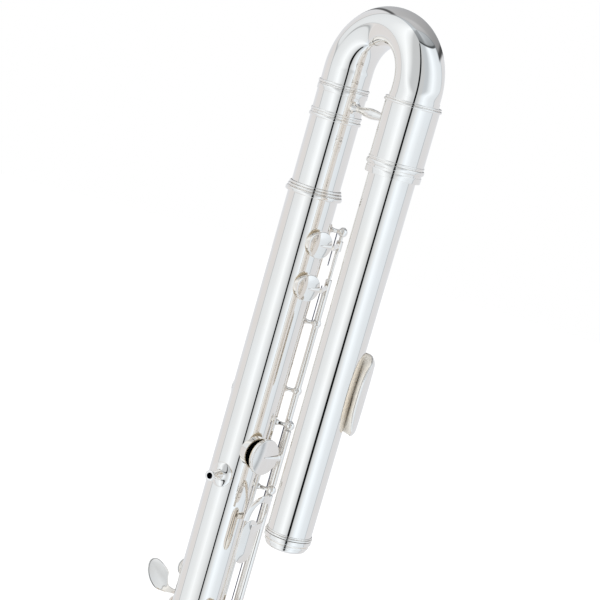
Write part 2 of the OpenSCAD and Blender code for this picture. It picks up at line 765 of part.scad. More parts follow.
// Thumb plates lie flat across the way that they swing, at the left seen from the front left
thumb_plate_a = back_rod_a + 120;
thumb_plate_y = back_line_r + 2.6;
lever_low_z = back_end_posts[0] + after_post + 8.5;
lever_high_z = lever_low_z + 10;
module c_sharp_key() {
    foot_z = back_end_posts[0] + after_post + 4;
    turned(back_line_r, back_rod_a, -key_open)
        on_shaft(back_rod_a, back_line_r, back_end_posts, [foot_z, c_sharp_z]) {
            cup(c_sharp_z, back_hole_a, small_cup_r);
            arm(c_sharp_z, back_hole_a, small_cup_r, back_da, back_line_r);
            bar(foot_z, back_bar_r, back_rod_a, back_rod_a + 60);
            touch(foot_z - 6, back_rod_a + 64, back_bar_r, 22, 10);
        }
}
// Teardrop plate and its neck; x runs out from the bore, y along it
module thumb_plate() {
    w = thumb_plate_w;
    out = back_line_r + 5;
    neck = body_r - 1;
    hull() {
        translate([out + 0.27 * w, 0.35 * w]) circle(r = 0.31 * w);
        translate([out, 0]) circle(r = 0.5 * w);
        translate([out - 0.31 * w, -0.53 * w]) circle(r = 0.3 * w);
    }
    polygon([[neck - arm_w * 0.85, -0.83 * w], [out - 0.5 * w, -0.85 * w], [out - 0.4 * w, -0.45 * w],
             [neck, -0.63 * w], [neck, 2.2], [neck - arm_w * 0.85, 2.2]]);
}
// Round plate of the lever, behind the tube's edge
module lever_plate() {
    x = body_r - 4;
    translate([x, 14.8]) circle(r = lever_plate_w / 2);
    polygon([[x - 8, -arm_w / 2], [x - 3.4, -arm_w / 2], [x - 3.4, 6], [x + 3, 8.5], [x - 7, 12.5]]);
}
// Sets a flat outline in the thumb plates' plane, in the place where the open key holds it
module in_thumb_plane(z, y) {
    turned(back_line_r, back_rod_a, key_open) station(z, thumb_plate_a)
        translate([0, -y, 0]) rotate([90, 0, 0]) linear_extrude(height = bar_t, center = true) children();
}
module thumb_b_key() {
    bar_z = lever_high_z + 3;
    turned(back_line_r, back_rod_a, -key_open)
        on_tube(back_rod_a, back_line_r, lever_high_z + end_play, thumb_b_z + 26) {
            cup(thumb_b_z, back_hole_a, cup_r);
            arm(thumb_b_z, back_hole_a, cup_r, back_da, back_line_r);
            bar(bar_z, back_bar_r, back_rod_a, back_rod_a + 63);
            in_thumb_plane(bar_z + 0.3, thumb_plate_y) thumb_plate();
        }
}
module thumb_b_flat_lever() {
    lever_z = (lever_low_z + lever_high_z) / 2;
    lever_y = thumb_plate_y + 5.9;
    turned(back_line_r, back_rod_a, -key_open)
        on_tube(back_rod_a, back_line_r, lever_low_z, lever_high_z) {
            bar(lever_z, back_bar_r, back_rod_a, back_rod_a + 48);
            turned(back_line_r, back_rod_a, key_open) station(lever_z - arm_w / 2, thumb_plate_a)
                translate([body_r - 12, -lever_y - bar_t / 2, 0]) cube([4.6, 5.3, arm_w]);
            in_thumb_plane(lever_z, lever_y) lever_plate();
        }
}
module c_sharp_pad() { turned(back_line_r, back_rod_a, -key_open) pad(c_sharp_z, back_hole_a, small_cup_r); }
module thumb_b_pad() { turned(back_line_r, back_rod_a, -key_open) pad(thumb_b_z, back_hole_a, cup_r); }

// Foot keys: the low C shaft runs inside the C sharp tube
foot_touch_r = rod_line_r - 0.5;
module foot_low_c_key() {
    tip_z = foot_end_posts[1] - after_post - 4;
    turned(rod_line_r, main_rod_a, key_open)
        on_shaft(main_rod_a, rod_line_r, foot_end_posts, [low_c_z, tip_z]) {
            main_cup(low_c_z);
            bar(tip_z, foot_touch_r, front_a + 8, main_rod_a);
            touch(tip_z, front_a + 4, foot_touch_r, 12, 8);
        }
}
module foot_c_sharp_key() {
    z_high = foot_end_posts[1] - 12.5;
    turned(rod_line_r, main_rod_a, key_open)
        on_tube(main_rod_a, rod_line_r, foot_c_sharp_z - 12, z_high) {
            main_cup(foot_c_sharp_z);
            bar(z_high - 4, foot_touch_r, front_a + 22, main_rod_a);
            touch(z_high - 4, front_a + 18, foot_touch_r, 12, 8);
        }
}
module foot_d_sharp_key() {
    z_low = foot_left_posts[0] + after_post;
    z_high = foot_left_posts[1] - after_post;
    touch_r = rod_line_r + 0.4;
    on_tube(foot_left_rod_a, rod_line_r, z_low, z_high) {
        cup(foot_d_sharp_z, front_a, cup_r);
        arm(foot_d_sharp_z, front_a, cup_r, foot_left_rod_a - front_a, rod_line_r);
        bar(z_high - 6, touch_r, foot_left_rod_a - 22, foot_left_rod_a);
        touch(z_high - 8, foot_left_rod_a - 28, touch_r, 30, 12);
    }
}
module foot_low_c_pad() { main_pad(low_c_z); }
module foot_c_sharp_pad() { main_pad(foot_c_sharp_z); }
module foot_d_sharp_pad() { pad(foot_d_sharp_z, front_a, cup_r); }

body_tube();
body_rings();
body_ribs();
body_posts();
body_rods();
body_springs();
hand_rest_socket();
foot_tube();
foot_rings();
foot_ribs();
foot_posts();
foot_rod();
foot_springs();
crook_tube();
crook_tenon();
crook_tenon_rings();
crook_brace();
receiver_sleeve();
receiver_liner();
receiver_rings();
head_tube();
head_band();
lip_plate();
embouchure_riser();
crown();
stopper_cork();
stopper_screw();
d_sharp_trill_key();
d_trill_key();
c_sharp_key();
thumb_b_key();
thumb_b_flat_lever();
b_flat_key();
a_key();
g_key();
g_sharp_key();
f_sharp_key();
f_key();
e_key();
d_key();
foot_d_sharp_key();
foot_c_sharp_key();
foot_low_c_key();
d_sharp_trill_pad();
d_trill_pad();
c_sharp_pad();
thumb_b_pad();
b_flat_pad();
a_pad();
g_pads();
g_sharp_pad();
f_sharp_pad();
f_pad();
e_pad();
d_pad();
foot_d_sharp_pad();
foot_c_sharp_pad();
foot_low_c_pad();
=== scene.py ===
"""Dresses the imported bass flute: silver finishes, smooth tubes and keywork, and a white studio.

Objects are in metres in the row frame: +Z runs up the body bore, and angles turn about +Z from +X, in
degrees.
The classes of rings, plates and keys hold millimetres, which MM turns into metres.
"""
import json
import logging
import math
from dataclasses import dataclass, field
from enum import Enum
from typing import Iterable, Sequence

import bmesh
import bpy
from mathutils import Matrix, Vector


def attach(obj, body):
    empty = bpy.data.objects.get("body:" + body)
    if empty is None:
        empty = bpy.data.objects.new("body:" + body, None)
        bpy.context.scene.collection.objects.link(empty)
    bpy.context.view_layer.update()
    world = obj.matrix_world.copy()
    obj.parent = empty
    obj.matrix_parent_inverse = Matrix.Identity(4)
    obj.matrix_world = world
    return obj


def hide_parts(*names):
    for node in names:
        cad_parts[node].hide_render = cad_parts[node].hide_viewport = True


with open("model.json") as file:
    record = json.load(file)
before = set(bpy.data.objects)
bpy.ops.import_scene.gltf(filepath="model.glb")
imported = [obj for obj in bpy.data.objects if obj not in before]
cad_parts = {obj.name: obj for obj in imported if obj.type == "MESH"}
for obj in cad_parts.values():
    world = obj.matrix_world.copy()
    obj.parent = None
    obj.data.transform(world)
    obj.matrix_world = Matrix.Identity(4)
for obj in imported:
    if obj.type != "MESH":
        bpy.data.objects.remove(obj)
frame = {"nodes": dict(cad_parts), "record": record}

log = logging.getLogger("bass_flute")
MM = 0.001
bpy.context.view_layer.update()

Socket = bpy.types.NodeSocket
Material = bpy.types.Material
Piece = bpy.types.Object
Pair = tuple[float, float]
Profile = Sequence[Pair]
Shape = tuple[list[Vector], list[tuple[int, ...]]]
Colour = tuple[float, float, float]
WHITE: Colour = (1.0, 1.0, 1.0)


class Slot(Enum):
    """Material slots of the record."""

    TUBE = "tube_silver"
    RING = "ring_silver"
    KEY = "key_silver"
    LIP = "lip_silver"
    STEEL = "steel"
    SPRING = "spring_steel"
    PADS = "pads"
    CORK = "cork"


@dataclass(frozen=True)
class Layout:
    """Places and directions that the pieces share, in metres and degrees."""

    leg_spacing: float = 0.068
    head_a: float = -86.0
    lip_a: float = -18.0
    body_r: float = 0.01705
    bend_z: float = 0.896

    @property
    def head_axis(self) -> Vector:
        """Foot of the head tube's axis."""
        a = math.radians(self.head_a)
        return Vector((self.leg_spacing * math.cos(a), self.leg_spacing * math.sin(a), 0.0))

    @staticmethod
    def ring_dir(angle: float) -> Vector:
        """Unit vector across the bore at an angle."""
        a = math.radians(angle)
        return Vector((math.cos(a), math.sin(a), 0.0))


LAYOUT = Layout()


# Finishes

class NodeSketch:
    """Short helpers for building one material's node tree."""

    def __init__(self, name: str) -> None:
        """Starts an empty node material.

        Args:
            name: The material's name.
        """
        self.material = bpy.data.materials.new(name)
        self.material.use_nodes = True
        self.tree = self.material.node_tree
        self.tree.nodes.clear()
        self.out = self.tree.nodes.new("ShaderNodeOutputMaterial")
        self.shader = self.tree.nodes.new("ShaderNodeBsdfPrincipled")
        self.tree.links.new(self.shader.outputs[0], self.out.inputs[0])
        self.coords = self.tree.nodes.new("ShaderNodeTexCoord")

    def node(self, kind: str, **inputs: object) -> bpy.types.Node:
        """Adds a node and sets or links its inputs.

        Args:
            kind: The node's type name.
            inputs: Values, or output sockets to link, by input name with underscores for spaces, or as i0,
                i1 by place.

        Returns:
            The new node.
        """
        made = self.tree.nodes.new(kind)
        for key, value in inputs.items():
            numbered = key[0] == "i" and key[1:].isdigit()
            socket = made.inputs[int(key[1:]) if numbered else key.replace("_", " ")]
            if isinstance(value, Socket):
                self.tree.links.new(value, socket)
            else:
                socket.default_value = value
        return made

    def place(self, scale: Sequence[float]) -> Socket:
        """Object coordinates under a scale."""
        made = self.node("ShaderNodeMapping", Vector=self.coords.outputs["Object"])
        made.inputs["Scale"].default_value = scale
        return made.outputs[0]

    def noise(self, scale: float, detail: float, stretch: Sequence[float] = (1, 1, 1)) -> Socket:
        """Fractal noise from 0 to 1 on Object coordinates."""
        made = self.node("ShaderNodeTexNoise", Vector=self.place(stretch), Scale=scale, Detail=detail,
                         Roughness=0.6)
        return made.outputs["Fac"]

    def ramp(self, fac: Socket, stops: Sequence[tuple[float, Sequence[float]]]) -> Socket:
        """Adds a colour ramp.

        Args:
            fac: The value that picks the colour.
            stops: Places from 0 to 1 with their colours.

        Returns:
            The colour.
        """
        made = self.node("ShaderNodeValToRGB", Fac=fac)
        band = made.color_ramp.elements
        while len(band) < len(stops):
            band.new(0.5)
        for stop, (at, colour) in zip(band, stops):
            stop.position = at
            stop.color = (*colour, 1.0)
        return made.outputs[0]

    def between(self, fac: Socket, low: float, high: float) -> Socket:
        """A 0 to 1 value spread to low..high."""
        made = self.node("ShaderNodeMapRange", Value=fac)
        made.inputs["To Min"].default_value = low
        made.inputs["To Max"].default_value = high
        return made.outputs[0]

    def bump(self, height: Socket, distance: float, strength: float) -> None:
        """Feeds a height to the shader's normal."""
        made = self.node("ShaderNodeBump", Height=height, Distance=distance, Strength=strength)
        self.tree.links.new(made.outputs[0], self.shader.inputs["Normal"])


@dataclass(frozen=True)
class Silver:
    """Polished silver plate with faint swirl marks, handling haze and slightly warmer low spots."""

    name: str
    bright: Colour = (0.955, 0.92, 0.875)
    warm: Colour = (0.94, 0.895, 0.84)
    smooth: float = 0.014
    hazy: float = 0.035
    haze_scale: float = 26.0
    mark_scale: float = 900.0
    swirl: float = 0.000004
    metal: float = 1.0

    def build(self) -> Material:
        """Makes the node material."""
        s = NodeSketch(self.name)
        haze = s.noise(self.haze_scale, 5.0)
        tint = s.ramp(haze, [(0.30, self.warm), (0.62, self.bright)])
        s.tree.links.new(tint, s.shader.inputs["Base Color"])
        s.shader.inputs["Metallic"].default_value = self.metal
        marks = s.noise(self.mark_scale, 3.0, (1.0, 1.0, 0.25))
        both = s.node("ShaderNodeMath", i0=s.between(haze, 0.0, 1.0), i1=s.between(marks, -0.25, 0.25))
        s.tree.links.new(s.between(both.outputs[0], self.smooth, self.hazy), s.shader.inputs["Roughness"])
        s.bump(marks, self.swirl, 0.15)
        return s.material


@dataclass(frozen=True)
class GroundSteel:
    """Steel with fine turning lines across its length."""

    name: str
    dark: Colour = (0.42, 0.43, 0.46)
    light: Colour = (0.66, 0.67, 0.70)
    smooth: float = 0.16
    line_scale: float = 1500.0
    line_depth: float = 0.00002

    def build(self) -> Material:
        """Makes the node material."""
        s = NodeSketch(self.name)
        lines = s.noise(self.line_scale, 2.0, (0.05, 0.05, 1.0))
        s.tree.links.new(s.ramp(lines, [(0.3, self.dark), (0.7, self.light)]), s.shader.inputs["Base Color"])
        s.shader.inputs["Metallic"].default_value = 1.0
        s.tree.links.new(s.between(lines, self.smooth, self.smooth + 0.14), s.shader.inputs["Roughness"])
        s.bump(lines, self.line_depth, 0.3)
        return s.material


@dataclass(frozen=True)
class PadSkin:
    """Thin skin over felt: pale tan with a fine crinkle."""

    name: str = "pad_skin"
    low: Colour = (0.72, 0.6, 0.42)
    high: Colour = (0.88, 0.8, 0.66)

    def build(self) -> Material:
        """Makes the node material."""
        s = NodeSketch(self.name)
        blotch = s.noise(140.0, 4.0)
        s.tree.links.new(s.ramp(blotch, [(0.3, self.low), (0.7, self.high)]), s.shader.inputs["Base Color"])
        s.tree.links.new(s.between(blotch, 0.45, 0.65), s.shader.inputs["Roughness"])
        s.bump(s.noise(1200.0, 5.0), 0.00006, 0.4)
        return s.material


@dataclass(frozen=True)
class Cork:
    """Natural cork with dark pores."""

    name: str = "stopper_cork"
    pore: Colour = (0.32, 0.2, 0.11)
    bark: Colour = (0.68, 0.5, 0.32)

    def build(self) -> Material:
        """Makes the node material."""
        s = NodeSketch(self.name)
        grain = s.noise(320.0, 6.0)
        pores = s.node("ShaderNodeTexVoronoi", Vector=s.place((1, 1, 1)), Scale=420.0)
        dark = s.node("ShaderNodeMath", i0=pores.outputs["Distance"], i1=grain)
        tint = s.ramp(dark.outputs[0], [(0.45, self.pore), (0.8, self.bark)])
        s.tree.links.new(tint, s.shader.inputs["Base Color"])
        s.shader.inputs["Roughness"].default_value = 0.85
        s.bump(dark.outputs[0], 0.0002, 0.5)
        return s.material


@dataclass
class Finishes:
    """Every finish of the flute, built once."""

    tube: Material = field(default_factory=Silver("tube_plate").build)
    ring: Material = field(default_factory=Silver("ring_plate", smooth=0.05, hazy=0.12).build)
    # The keys' warmer colour is painted warm reflection: a beige tint in the silver stands in for the warm
    # light that the keys mirror.
    key: Material = field(default_factory=Silver(
        "key_plate", warm=(0.93, 0.88, 0.82), smooth=0.035, hazy=0.09, haze_scale=90.0).build)
    lip: Material = field(default_factory=Silver(
        "lip_plate_silver", smooth=0.05, hazy=0.14, haze_scale=60.0).build)
    # Painted warm reflection: the plate's underside is matte pale beige instead of mirroring silver, and
    # light enough to paint over the shade there.
    underside_painted_reflection: Material = field(default_factory=Silver(
        "plate_underside", bright=(0.95, 0.91, 0.84), warm=(0.93, 0.87, 0.77), smooth=0.5, hazy=0.62,
        metal=0.0, haze_scale=60.0).build)
    steel: Material = field(default_factory=GroundSteel("rod_steel").build)
    spring: Material = field(default_factory=GroundSteel(
        "needle_steel", dark=(0.05, 0.06, 0.1), light=(0.16, 0.18, 0.26), smooth=0.22).build)
    pad: Material = field(default_factory=PadSkin().build)
    cork: Material = field(default_factory=Cork().build)

    def of(self, which: Slot) -> Material:
        """The material of a slot."""
        return {Slot.TUBE: self.tube, Slot.RING: self.ring, Slot.KEY: self.key, Slot.LIP: self.lip,
                Slot.STEEL: self.steel, Slot.SPRING: self.spring, Slot.PADS: self.pad,
                Slot.CORK: self.cork}[which]

    def dress_nodes(self) -> None:
        """Gives every CAD node the finish of its slot."""
        for row in frame["record"]["subparts"]:
            node = frame["nodes"][row["node"]]
            material = self.of(Slot(row["material_slot"]))
            if node.material_slots:
                for place in node.material_slots:
                    place.material = material
            else:
                node.data.materials.append(material)


# Mesh helpers

def turns(count: int) -> list[float]:
    """Angles evenly round a circle, in radians."""
    return [math.tau * k / count for k in range(count)]


def quarter(count: int) -> list[float]:
    """Angles from 0 to a quarter turn in equal steps, in radians."""
    return [math.pi / 2 * k / count for k in range(count + 1)]


def square_off(value: float, power: float) -> float:
    """Sine or cosine to a power with its sign kept, which squares a circle towards a rounded box."""
    return math.copysign(abs(value) ** power, value)


def between(one: Pair, other: Pair, share: float) -> Pair:
    """Pair at a share of the way from one to the other."""
    return one[0] + (other[0] - one[0]) * share, one[1] + (other[1] - one[1]) * share


def tidy_mesh(mesh: bpy.types.Mesh, flat_angle: float) -> None:
    """Welds a mesh, turns its normals outward and shades it smooth.

    Args:
        mesh: The mesh, changed in place.
        flat_angle: Edges sharper than this many degrees stay crisp.
    """
    work = bmesh.new()
    work.from_mesh(mesh)
    bmesh.ops.remove_doubles(work, verts=work.verts, dist=1e-7)
    bmesh.ops.recalc_face_normals(work, faces=work.faces)
    for edge in work.edges:
        edge.smooth = len(edge.link_faces) != 2 or edge.calc_face_angle() < math.radians(flat_angle)
    for face in work.faces:
        face.smooth = True
    work.to_mesh(mesh)
    work.free()


def to_object(name: str, verts: Iterable[Sequence[float]], faces: Iterable[Sequence[int]], material: Material,
              flat_angle: float = 35.0) -> Piece:
    """Makes an object from points and faces, with outward normals and smooth shading.

    Args:
        name: The piece's name.
        verts: Points in the row frame, metres.
        faces: Faces as point numbers.
        material: The finish.
        flat_angle: Edges sharper than this many degrees stay crisp.

    Returns:
        The linked object, at the origin.
    """
    mesh = bpy.data.meshes.new(name)
    mesh.from_pydata([tuple(v) for v in verts], [], [tuple(f) for f in faces])
    tidy_mesh(mesh, flat_angle)
    mesh.materials.append(material)
    made = bpy.data.objects.new(name, mesh)
    bpy.context.scene.collection.objects.link(made)
    return made


def add(verts: list[Vector], faces: list[tuple[int, ...]], shape: Shape) -> None:
    """Adds one shape to a growing mesh.

    Args:
        verts: The mesh's points so far, added to.
        faces: The mesh's faces so far, added to.
        shape: The new points and faces.
    """
    start = len(verts)
    verts.extend(shape[0])
    faces.extend(tuple(start + k for k in face) for face in shape[1])


def loft(rings: Sequence[Sequence[Vector]], closed_ends: bool = True, loop: bool = False) -> Shape:
    """Skins a row of equal rings.

    Args:
        rings: Closed rings with the same count of points.
        closed_ends: Whether the first and last rings get a face.
        loop: Whether the last ring joins the first.

    Returns:
        Points and faces.
    """
    n = len(rings[0])
    verts = [p for ring in rings for p in ring]
    faces: list[tuple[int, ...]] = []
    last = len(rings) if loop else len(rings) - 1
    for i in range(last):
        a, b = i * n, ((i + 1) % len(rings)) * n
        faces += [(a + j, a + (j + 1) % n, b + (j + 1) % n, b + j) for j in range(n)]
    if closed_ends and not loop:
        faces.append(tuple(range(n)))
        faces.append(tuple(reversed(range((len(rings) - 1) * n, len(rings) * n))))
    return verts, faces


def turned(profile: Profile, place: Matrix, steps: int = 96) -> Shape:
    """Turns a closed (radius, height) outline about the local Z axis, then places it.

    Args:
        profile: Corners of the closed outline; a solid one starts and ends at radius 0.
        place: Matrix to the row frame.
        steps: Points round the circle.

    Returns:
        Points and faces.
    """
    solid = abs(profile[0][0]) < 1e-9 and abs(profile[-1][0]) < 1e-9
    core = list(profile[1:-1]) if solid else list(profile)
    rings = [[place @ Vector((r * math.cos(t), r * math.sin(t), z)) for t in turns(steps)] for r, z in core]
    if not solid:
        return loft(rings, loop=True)
    verts, faces = loft(rings, closed_ends=False)
    for end, (_, z) in ((0, profile[0]), (len(core) - 1, profile[-1])):
        tip = len(verts)
        verts.append(place @ Vector((0, 0, z)))
        base = end * steps
        faces += [(base + j, base + (j + 1) % steps, tip) for j in range(steps)]
    return verts, faces


def spline(points: Sequence[Sequence[float]], per: int = 8) -> list[Vector]:
    """Smooth curve through points (Catmull-Rom).

    Args:
        points: Points that the curve passes through.
        per: Steps from each point to the next.

    Returns:
        Points along the curve.
    """
    pts = [Vector(p) for p in points]
    ext = [pts[0] * 2 - pts[1], *pts, pts[-1] * 2 - pts[-2]]
    out: list[Vector] = []
    for a, b, c, d in zip(ext, ext[1:], ext[2:], ext[3:]):
        for k in range(per):
            t = k / per
            bend, twist = 2 * a - 5 * b + 4 * c - d, 3 * b - a - 3 * c + d
            out.append(0.5 * ((2 * b) + (c - a) * t + bend * t * t + twist * t ** 3))
    return out + [pts[-1]]


# Geometry node helpers

@dataclass
class Num:
    """One value of a node tree, which adds and multiplies like a number."""

    tree: "NodeTree"
    socket: Socket

    def math(self, operation: str, *others: "Num | float") -> "Num":
        """Adds a math node on this value.

        Args:
            operation: The node's operation name.
            others: The second and third inputs.

        Returns:
            The result.
        """
        node = self.tree.add("ShaderNodeMath")
        node.operation = operation
        self.tree.feed(node.inputs[0], self)
        for place, other in zip(list(node.inputs)[1:], others):
            self.tree.feed(place, other)
        return Num(self.tree, node.outputs[0])

    def __add__(self, other: "Num | float") -> "Num":
        """Sum."""
        return self.math("ADD", other)

    def __sub__(self, other: "Num | float") -> "Num":
        """Difference."""
        return self.math("SUBTRACT", other)

    def __mul__(self, other: "Num | float") -> "Num":
        """Product."""
        return self.math("MULTIPLY", other)

    def __truediv__(self, other: "Num | float") -> "Num":
        """Quotient."""
        return self.math("DIVIDE", other)


class NodeTree:
    """Geometry node tree with named inputs, for shapes that follow a rule or repeat."""

    def __init__(self, name: str, inputs: dict[str, object]) -> None:
        """Starts a tree with a geometry input, the named inputs and a material input.

        Args:
            name: The tree's name.
            inputs: Default value of each named input.
        """
        self.group = bpy.data.node_groups.new(name, "GeometryNodeTree")
        self.group.interface.new_socket("Geometry", in_out="INPUT", socket_type="NodeSocketGeometry")
        for label, value in inputs.items():
            kind = "NodeSocketInt" if isinstance(value, int) else "NodeSocketFloat"
            self.group.interface.new_socket(label, in_out="INPUT", socket_type=kind).default_value = value
        self.group.interface.new_socket("Material", in_out="INPUT", socket_type="NodeSocketMaterial")
        self.group.interface.new_socket("Geometry", in_out="OUTPUT", socket_type="NodeSocketGeometry")
        self.start = self.add("NodeGroupInput")
        self.end = self.add("NodeGroupOutput")
        self.values = dict(inputs)

    def add(self, kind: str) -> bpy.types.Node:
        """Adds a node."""
        return self.group.nodes.new(kind)

    def feed(self, socket: Socket, value: object) -> None:
        """Links a value, or sets a plain one.

        Args:
            socket: The input to feed.
            value: A value of the tree, an output socket or a plain value.
        """
        if isinstance(value, Num):
            self.group.links.new(value.socket, socket)
        elif isinstance(value, Socket):
            self.group.links.new(value, socket)
        else:
            socket.default_value = value

    def given(self, label: str) -> Num:
        """A named input."""
        return Num(self, self.start.outputs[label])

    def vector(self, x: Num | float, y: Num | float, z: Num | float) -> Socket:
        """A vector from three values."""
        node = self.add("ShaderNodeCombineXYZ")
        for place, value in zip(node.inputs, (x, y, z)):
            self.feed(place, value)
        return node.outputs[0]

    def split(self, vector: Socket) -> tuple[Num, Num, Num]:
        """The three values of a vector."""
        node = self.add("ShaderNodeSeparateXYZ")
        self.feed(node.inputs[0], vector)
        return Num(self, node.outputs[0]), Num(self, node.outputs[1]), Num(self, node.outputs[2])

    def finish(self, geometry: Socket) -> None:
        """Closes the tree with Realize Instances and Set Material.

        Args:
            geometry: The finished shape.
        """
        real, dress = self.add("GeometryNodeRealizeInstances"), self.add("GeometryNodeSetMaterial")
        self.feed(real.inputs[0], geometry)
        self.feed(dress.inputs["Geometry"], real.outputs[0])
        self.feed(dress.inputs["Material"], self.start.outputs["Material"])
        self.feed(self.end.inputs[0], dress.outputs[0])

    def make(self, name: str, material: Material, points: Sequence[Vector] = (), **values: object) -> Piece:
        """Runs the tree and keeps its result as a plain mesh.

        Args:
            name: The piece's name.
            material: The finish.
            points: Points handed to the tree's geometry input.
            values: Values of the named inputs, with underscores for spaces.

        Returns:
            The finished object.
        """
        base = bpy.data.meshes.new(name + "_points")
        base.from_pydata([tuple(q) for q in points], [], [])
        made = bpy.data.objects.new(name, base)
        bpy.context.scene.collection.objects.link(made)
        modifier = made.modifiers.new("shape", "NODES")
        modifier.node_group = self.group
        named = {key.replace("_", " "): value for key, value in values.items()}
        wanted = {**self.values, **named, "Material": material}
        for item in self.group.interface.items_tree:
            if item.in_out == "INPUT" and item.name != "Geometry":
                modifier[item.identifier] = wanted[item.name]
        mesh = bpy.data.meshes.new_from_object(made.evaluated_get(bpy.context.evaluated_depsgraph_get()))
        made.modifiers.remove(modifier)
        made.data = mesh
        mesh.name = name
        tidy_mesh(mesh, 35.0)
        return made


# Crook

@dataclass
class Crook:
    """Bent tube between body and head, thinner in the plane of the bend at its top."""

    tube_r: float = 0.01575
    wall: float = 0.00045
    left_leg_z: float = 0.865
    right_leg_z: float = 0.885
    squeeze: float = 0.19
    squeeze_power: float = 1.5
    outer_share: float = 0.55
    ring_count: int = 180
    ring_points: int = 96
    weld: float = 0.00002

    def tree(self) -> NodeTree:
        """Node tree that bends a straight cylinder wall along the two legs and the half turn."""
        lay = LAYOUT
        tree = NodeTree("crook_bend", {
            "Tube Radius": self.tube_r, "Wall": self.wall,
            "Half Spacing": lay.leg_spacing / 2, "Bend Height": lay.bend_z,
            "Left Leg": lay.bend_z - self.left_leg_z, "Right Leg": lay.bend_z - self.right_leg_z,
            "Squeeze": self.squeeze, "Head Angle": math.radians(lay.head_a),
            "Ring Count": self.ring_count, "Ring Points": self.ring_points})
        radius, half = tree.given("Tube Radius"), tree.given("Half Spacing")
        left, right = tree.given("Left Leg"), tree.given("Right Leg")
        straight = tree.add("GeometryNodeMeshCylinder")
        straight.fill_type = "NONE"
        tree.feed(straight.inputs["Vertices"], tree.given("Ring Points"))
        tree.feed(straight.inputs["Side Segments"], tree.given("Ring Count"))
        tree.feed(straight.inputs["Radius"], 1.0)
        tree.feed(straight.inputs["Depth"], 1.0)
        x, y, z = tree.split(tree.add("GeometryNodeInputPosition").outputs[0])
        turn_len = half * math.pi
        along = (z + 0.5) * (left + right + turn_len)
        turn = ((along - left) / half).math("MAXIMUM", 0.0).math("MINIMUM", math.pi)
        below = (along - left).math("MINIMUM", 0.0)
        above = (along - left - turn_len).math("MAXIMUM", 0.0)
        sine, cosine = turn.math("SINE"), turn.math("COSINE")
        crest = sine.math("MAXIMUM", 0.0).math("POWER", self.squeeze_power)
        thin = crest * tree.given("Squeeze") * -1.0 + 1.0
        reach = half + (thin * -1.0 + 1.0) * radius * self.outer_share + radius * thin * x
        across = half - cosine * reach
        side = radius * y
        rise = tree.given("Bend Height") + sine * reach + below - above
        head = tree.given("Head Angle")
        cos_a, sin_a = head.math("COSINE"), head.math("SINE")
        spot = tree.vector(across * cos_a - side * sin_a, across * sin_a + side * cos_a, rise)
        bend = tree.add("GeometryNodeSetPosition")
        tree.feed(bend.inputs["Geometry"], straight.outputs["Mesh"])
        tree.feed(bend.inputs["Position"], spot)
        shell = tree.add("GeometryNodeExtrudeMesh")
        shell.mode = "FACES"
        tree.feed(shell.inputs["Mesh"], bend.outputs[0])
        tree.feed(shell.inputs["Individual"], False)
        tree.feed(shell.inputs["Offset Scale"], tree.given("Wall") * -1.0)
        both = tree.add("GeometryNodeJoinGeometry")
        tree.group.links.new(bend.outputs[0], both.inputs[0])
        tree.group.links.new(shell.outputs["Mesh"], both.inputs[0])
        weld = tree.add("GeometryNodeMergeByDistance")
        tree.feed(weld.inputs["Geometry"], both.outputs[0])
        tree.feed(weld.inputs["Distance"], self.weld)
        tree.finish(weld.outputs[0])
        return tree

    def build(self, finishes: Finishes) -> Piece:
        """Makes the crook's skin, which stands for the CAD tube.

        Args:
            finishes: The finishes to dress it with.

        Returns:
            The skin.
        """
        piece = self.tree().make("crook_bend_skin", finishes.tube)
        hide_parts("crook_tube")
        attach(piece, "crook")
        return piece


# Rings and crown

# Points round each turned ring
RING_STEPS = 144


@dataclass(frozen=True)
class Bead:
    """One half-round or flat band of a ring."""

    low: float
    high: float
    radius: float
    round_over: float = 0.5

    def outline(self, inner: float) -> list[Pair]:
        """Closed outline with rounded outer corners.

        Args:
            inner: Radius of the tube that the bead sits on, in millimetres.

        Returns:
            Corners as (radius, height), in millimetres.
        """
        mid, reach = (self.low + self.high) / 2, (self.high - self.low) / 2
        r = min(self.round_over, reach, self.radius - inner - 0.02)
        points = [(inner, self.low)]
        points += [(self.radius - r + r * math.sin(t), mid - reach + r - r * math.cos(t)) for t in quarter(6)]
        points += [(self.radius - r + r * math.cos(t), mid + reach - r + r * math.sin(t)) for t in quarter(6)]
        return points + [(inner, self.high)]


@dataclass
class RingStack:
    """Beads and bands round one tube, as one piece."""

    name: str
    node: str
    body: str
    inner: float
    beads: tuple[Bead, ...]
    on_head: bool = False

    def build(self, finishes: Finishes) -> Piece:
        """Makes the turned rings.

        Args:
            finishes: The finishes to dress them with.

        Returns:
            The rings, as one piece.
        """
        place = Matrix.Translation(LAYOUT.head_axis) if self.on_head else Matrix()
        verts: list[Vector] = []
        faces: list[tuple[int, ...]] = []
        for bead in self.beads:
            outline = [(r * MM, z * MM) for r, z in bead.outline(self.inner)]
            add(verts, faces, turned(outline, place, RING_STEPS))
        piece = to_object(self.name, verts, faces, finishes.ring)
        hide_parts(self.node)
        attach(piece, self.body)
        return piece


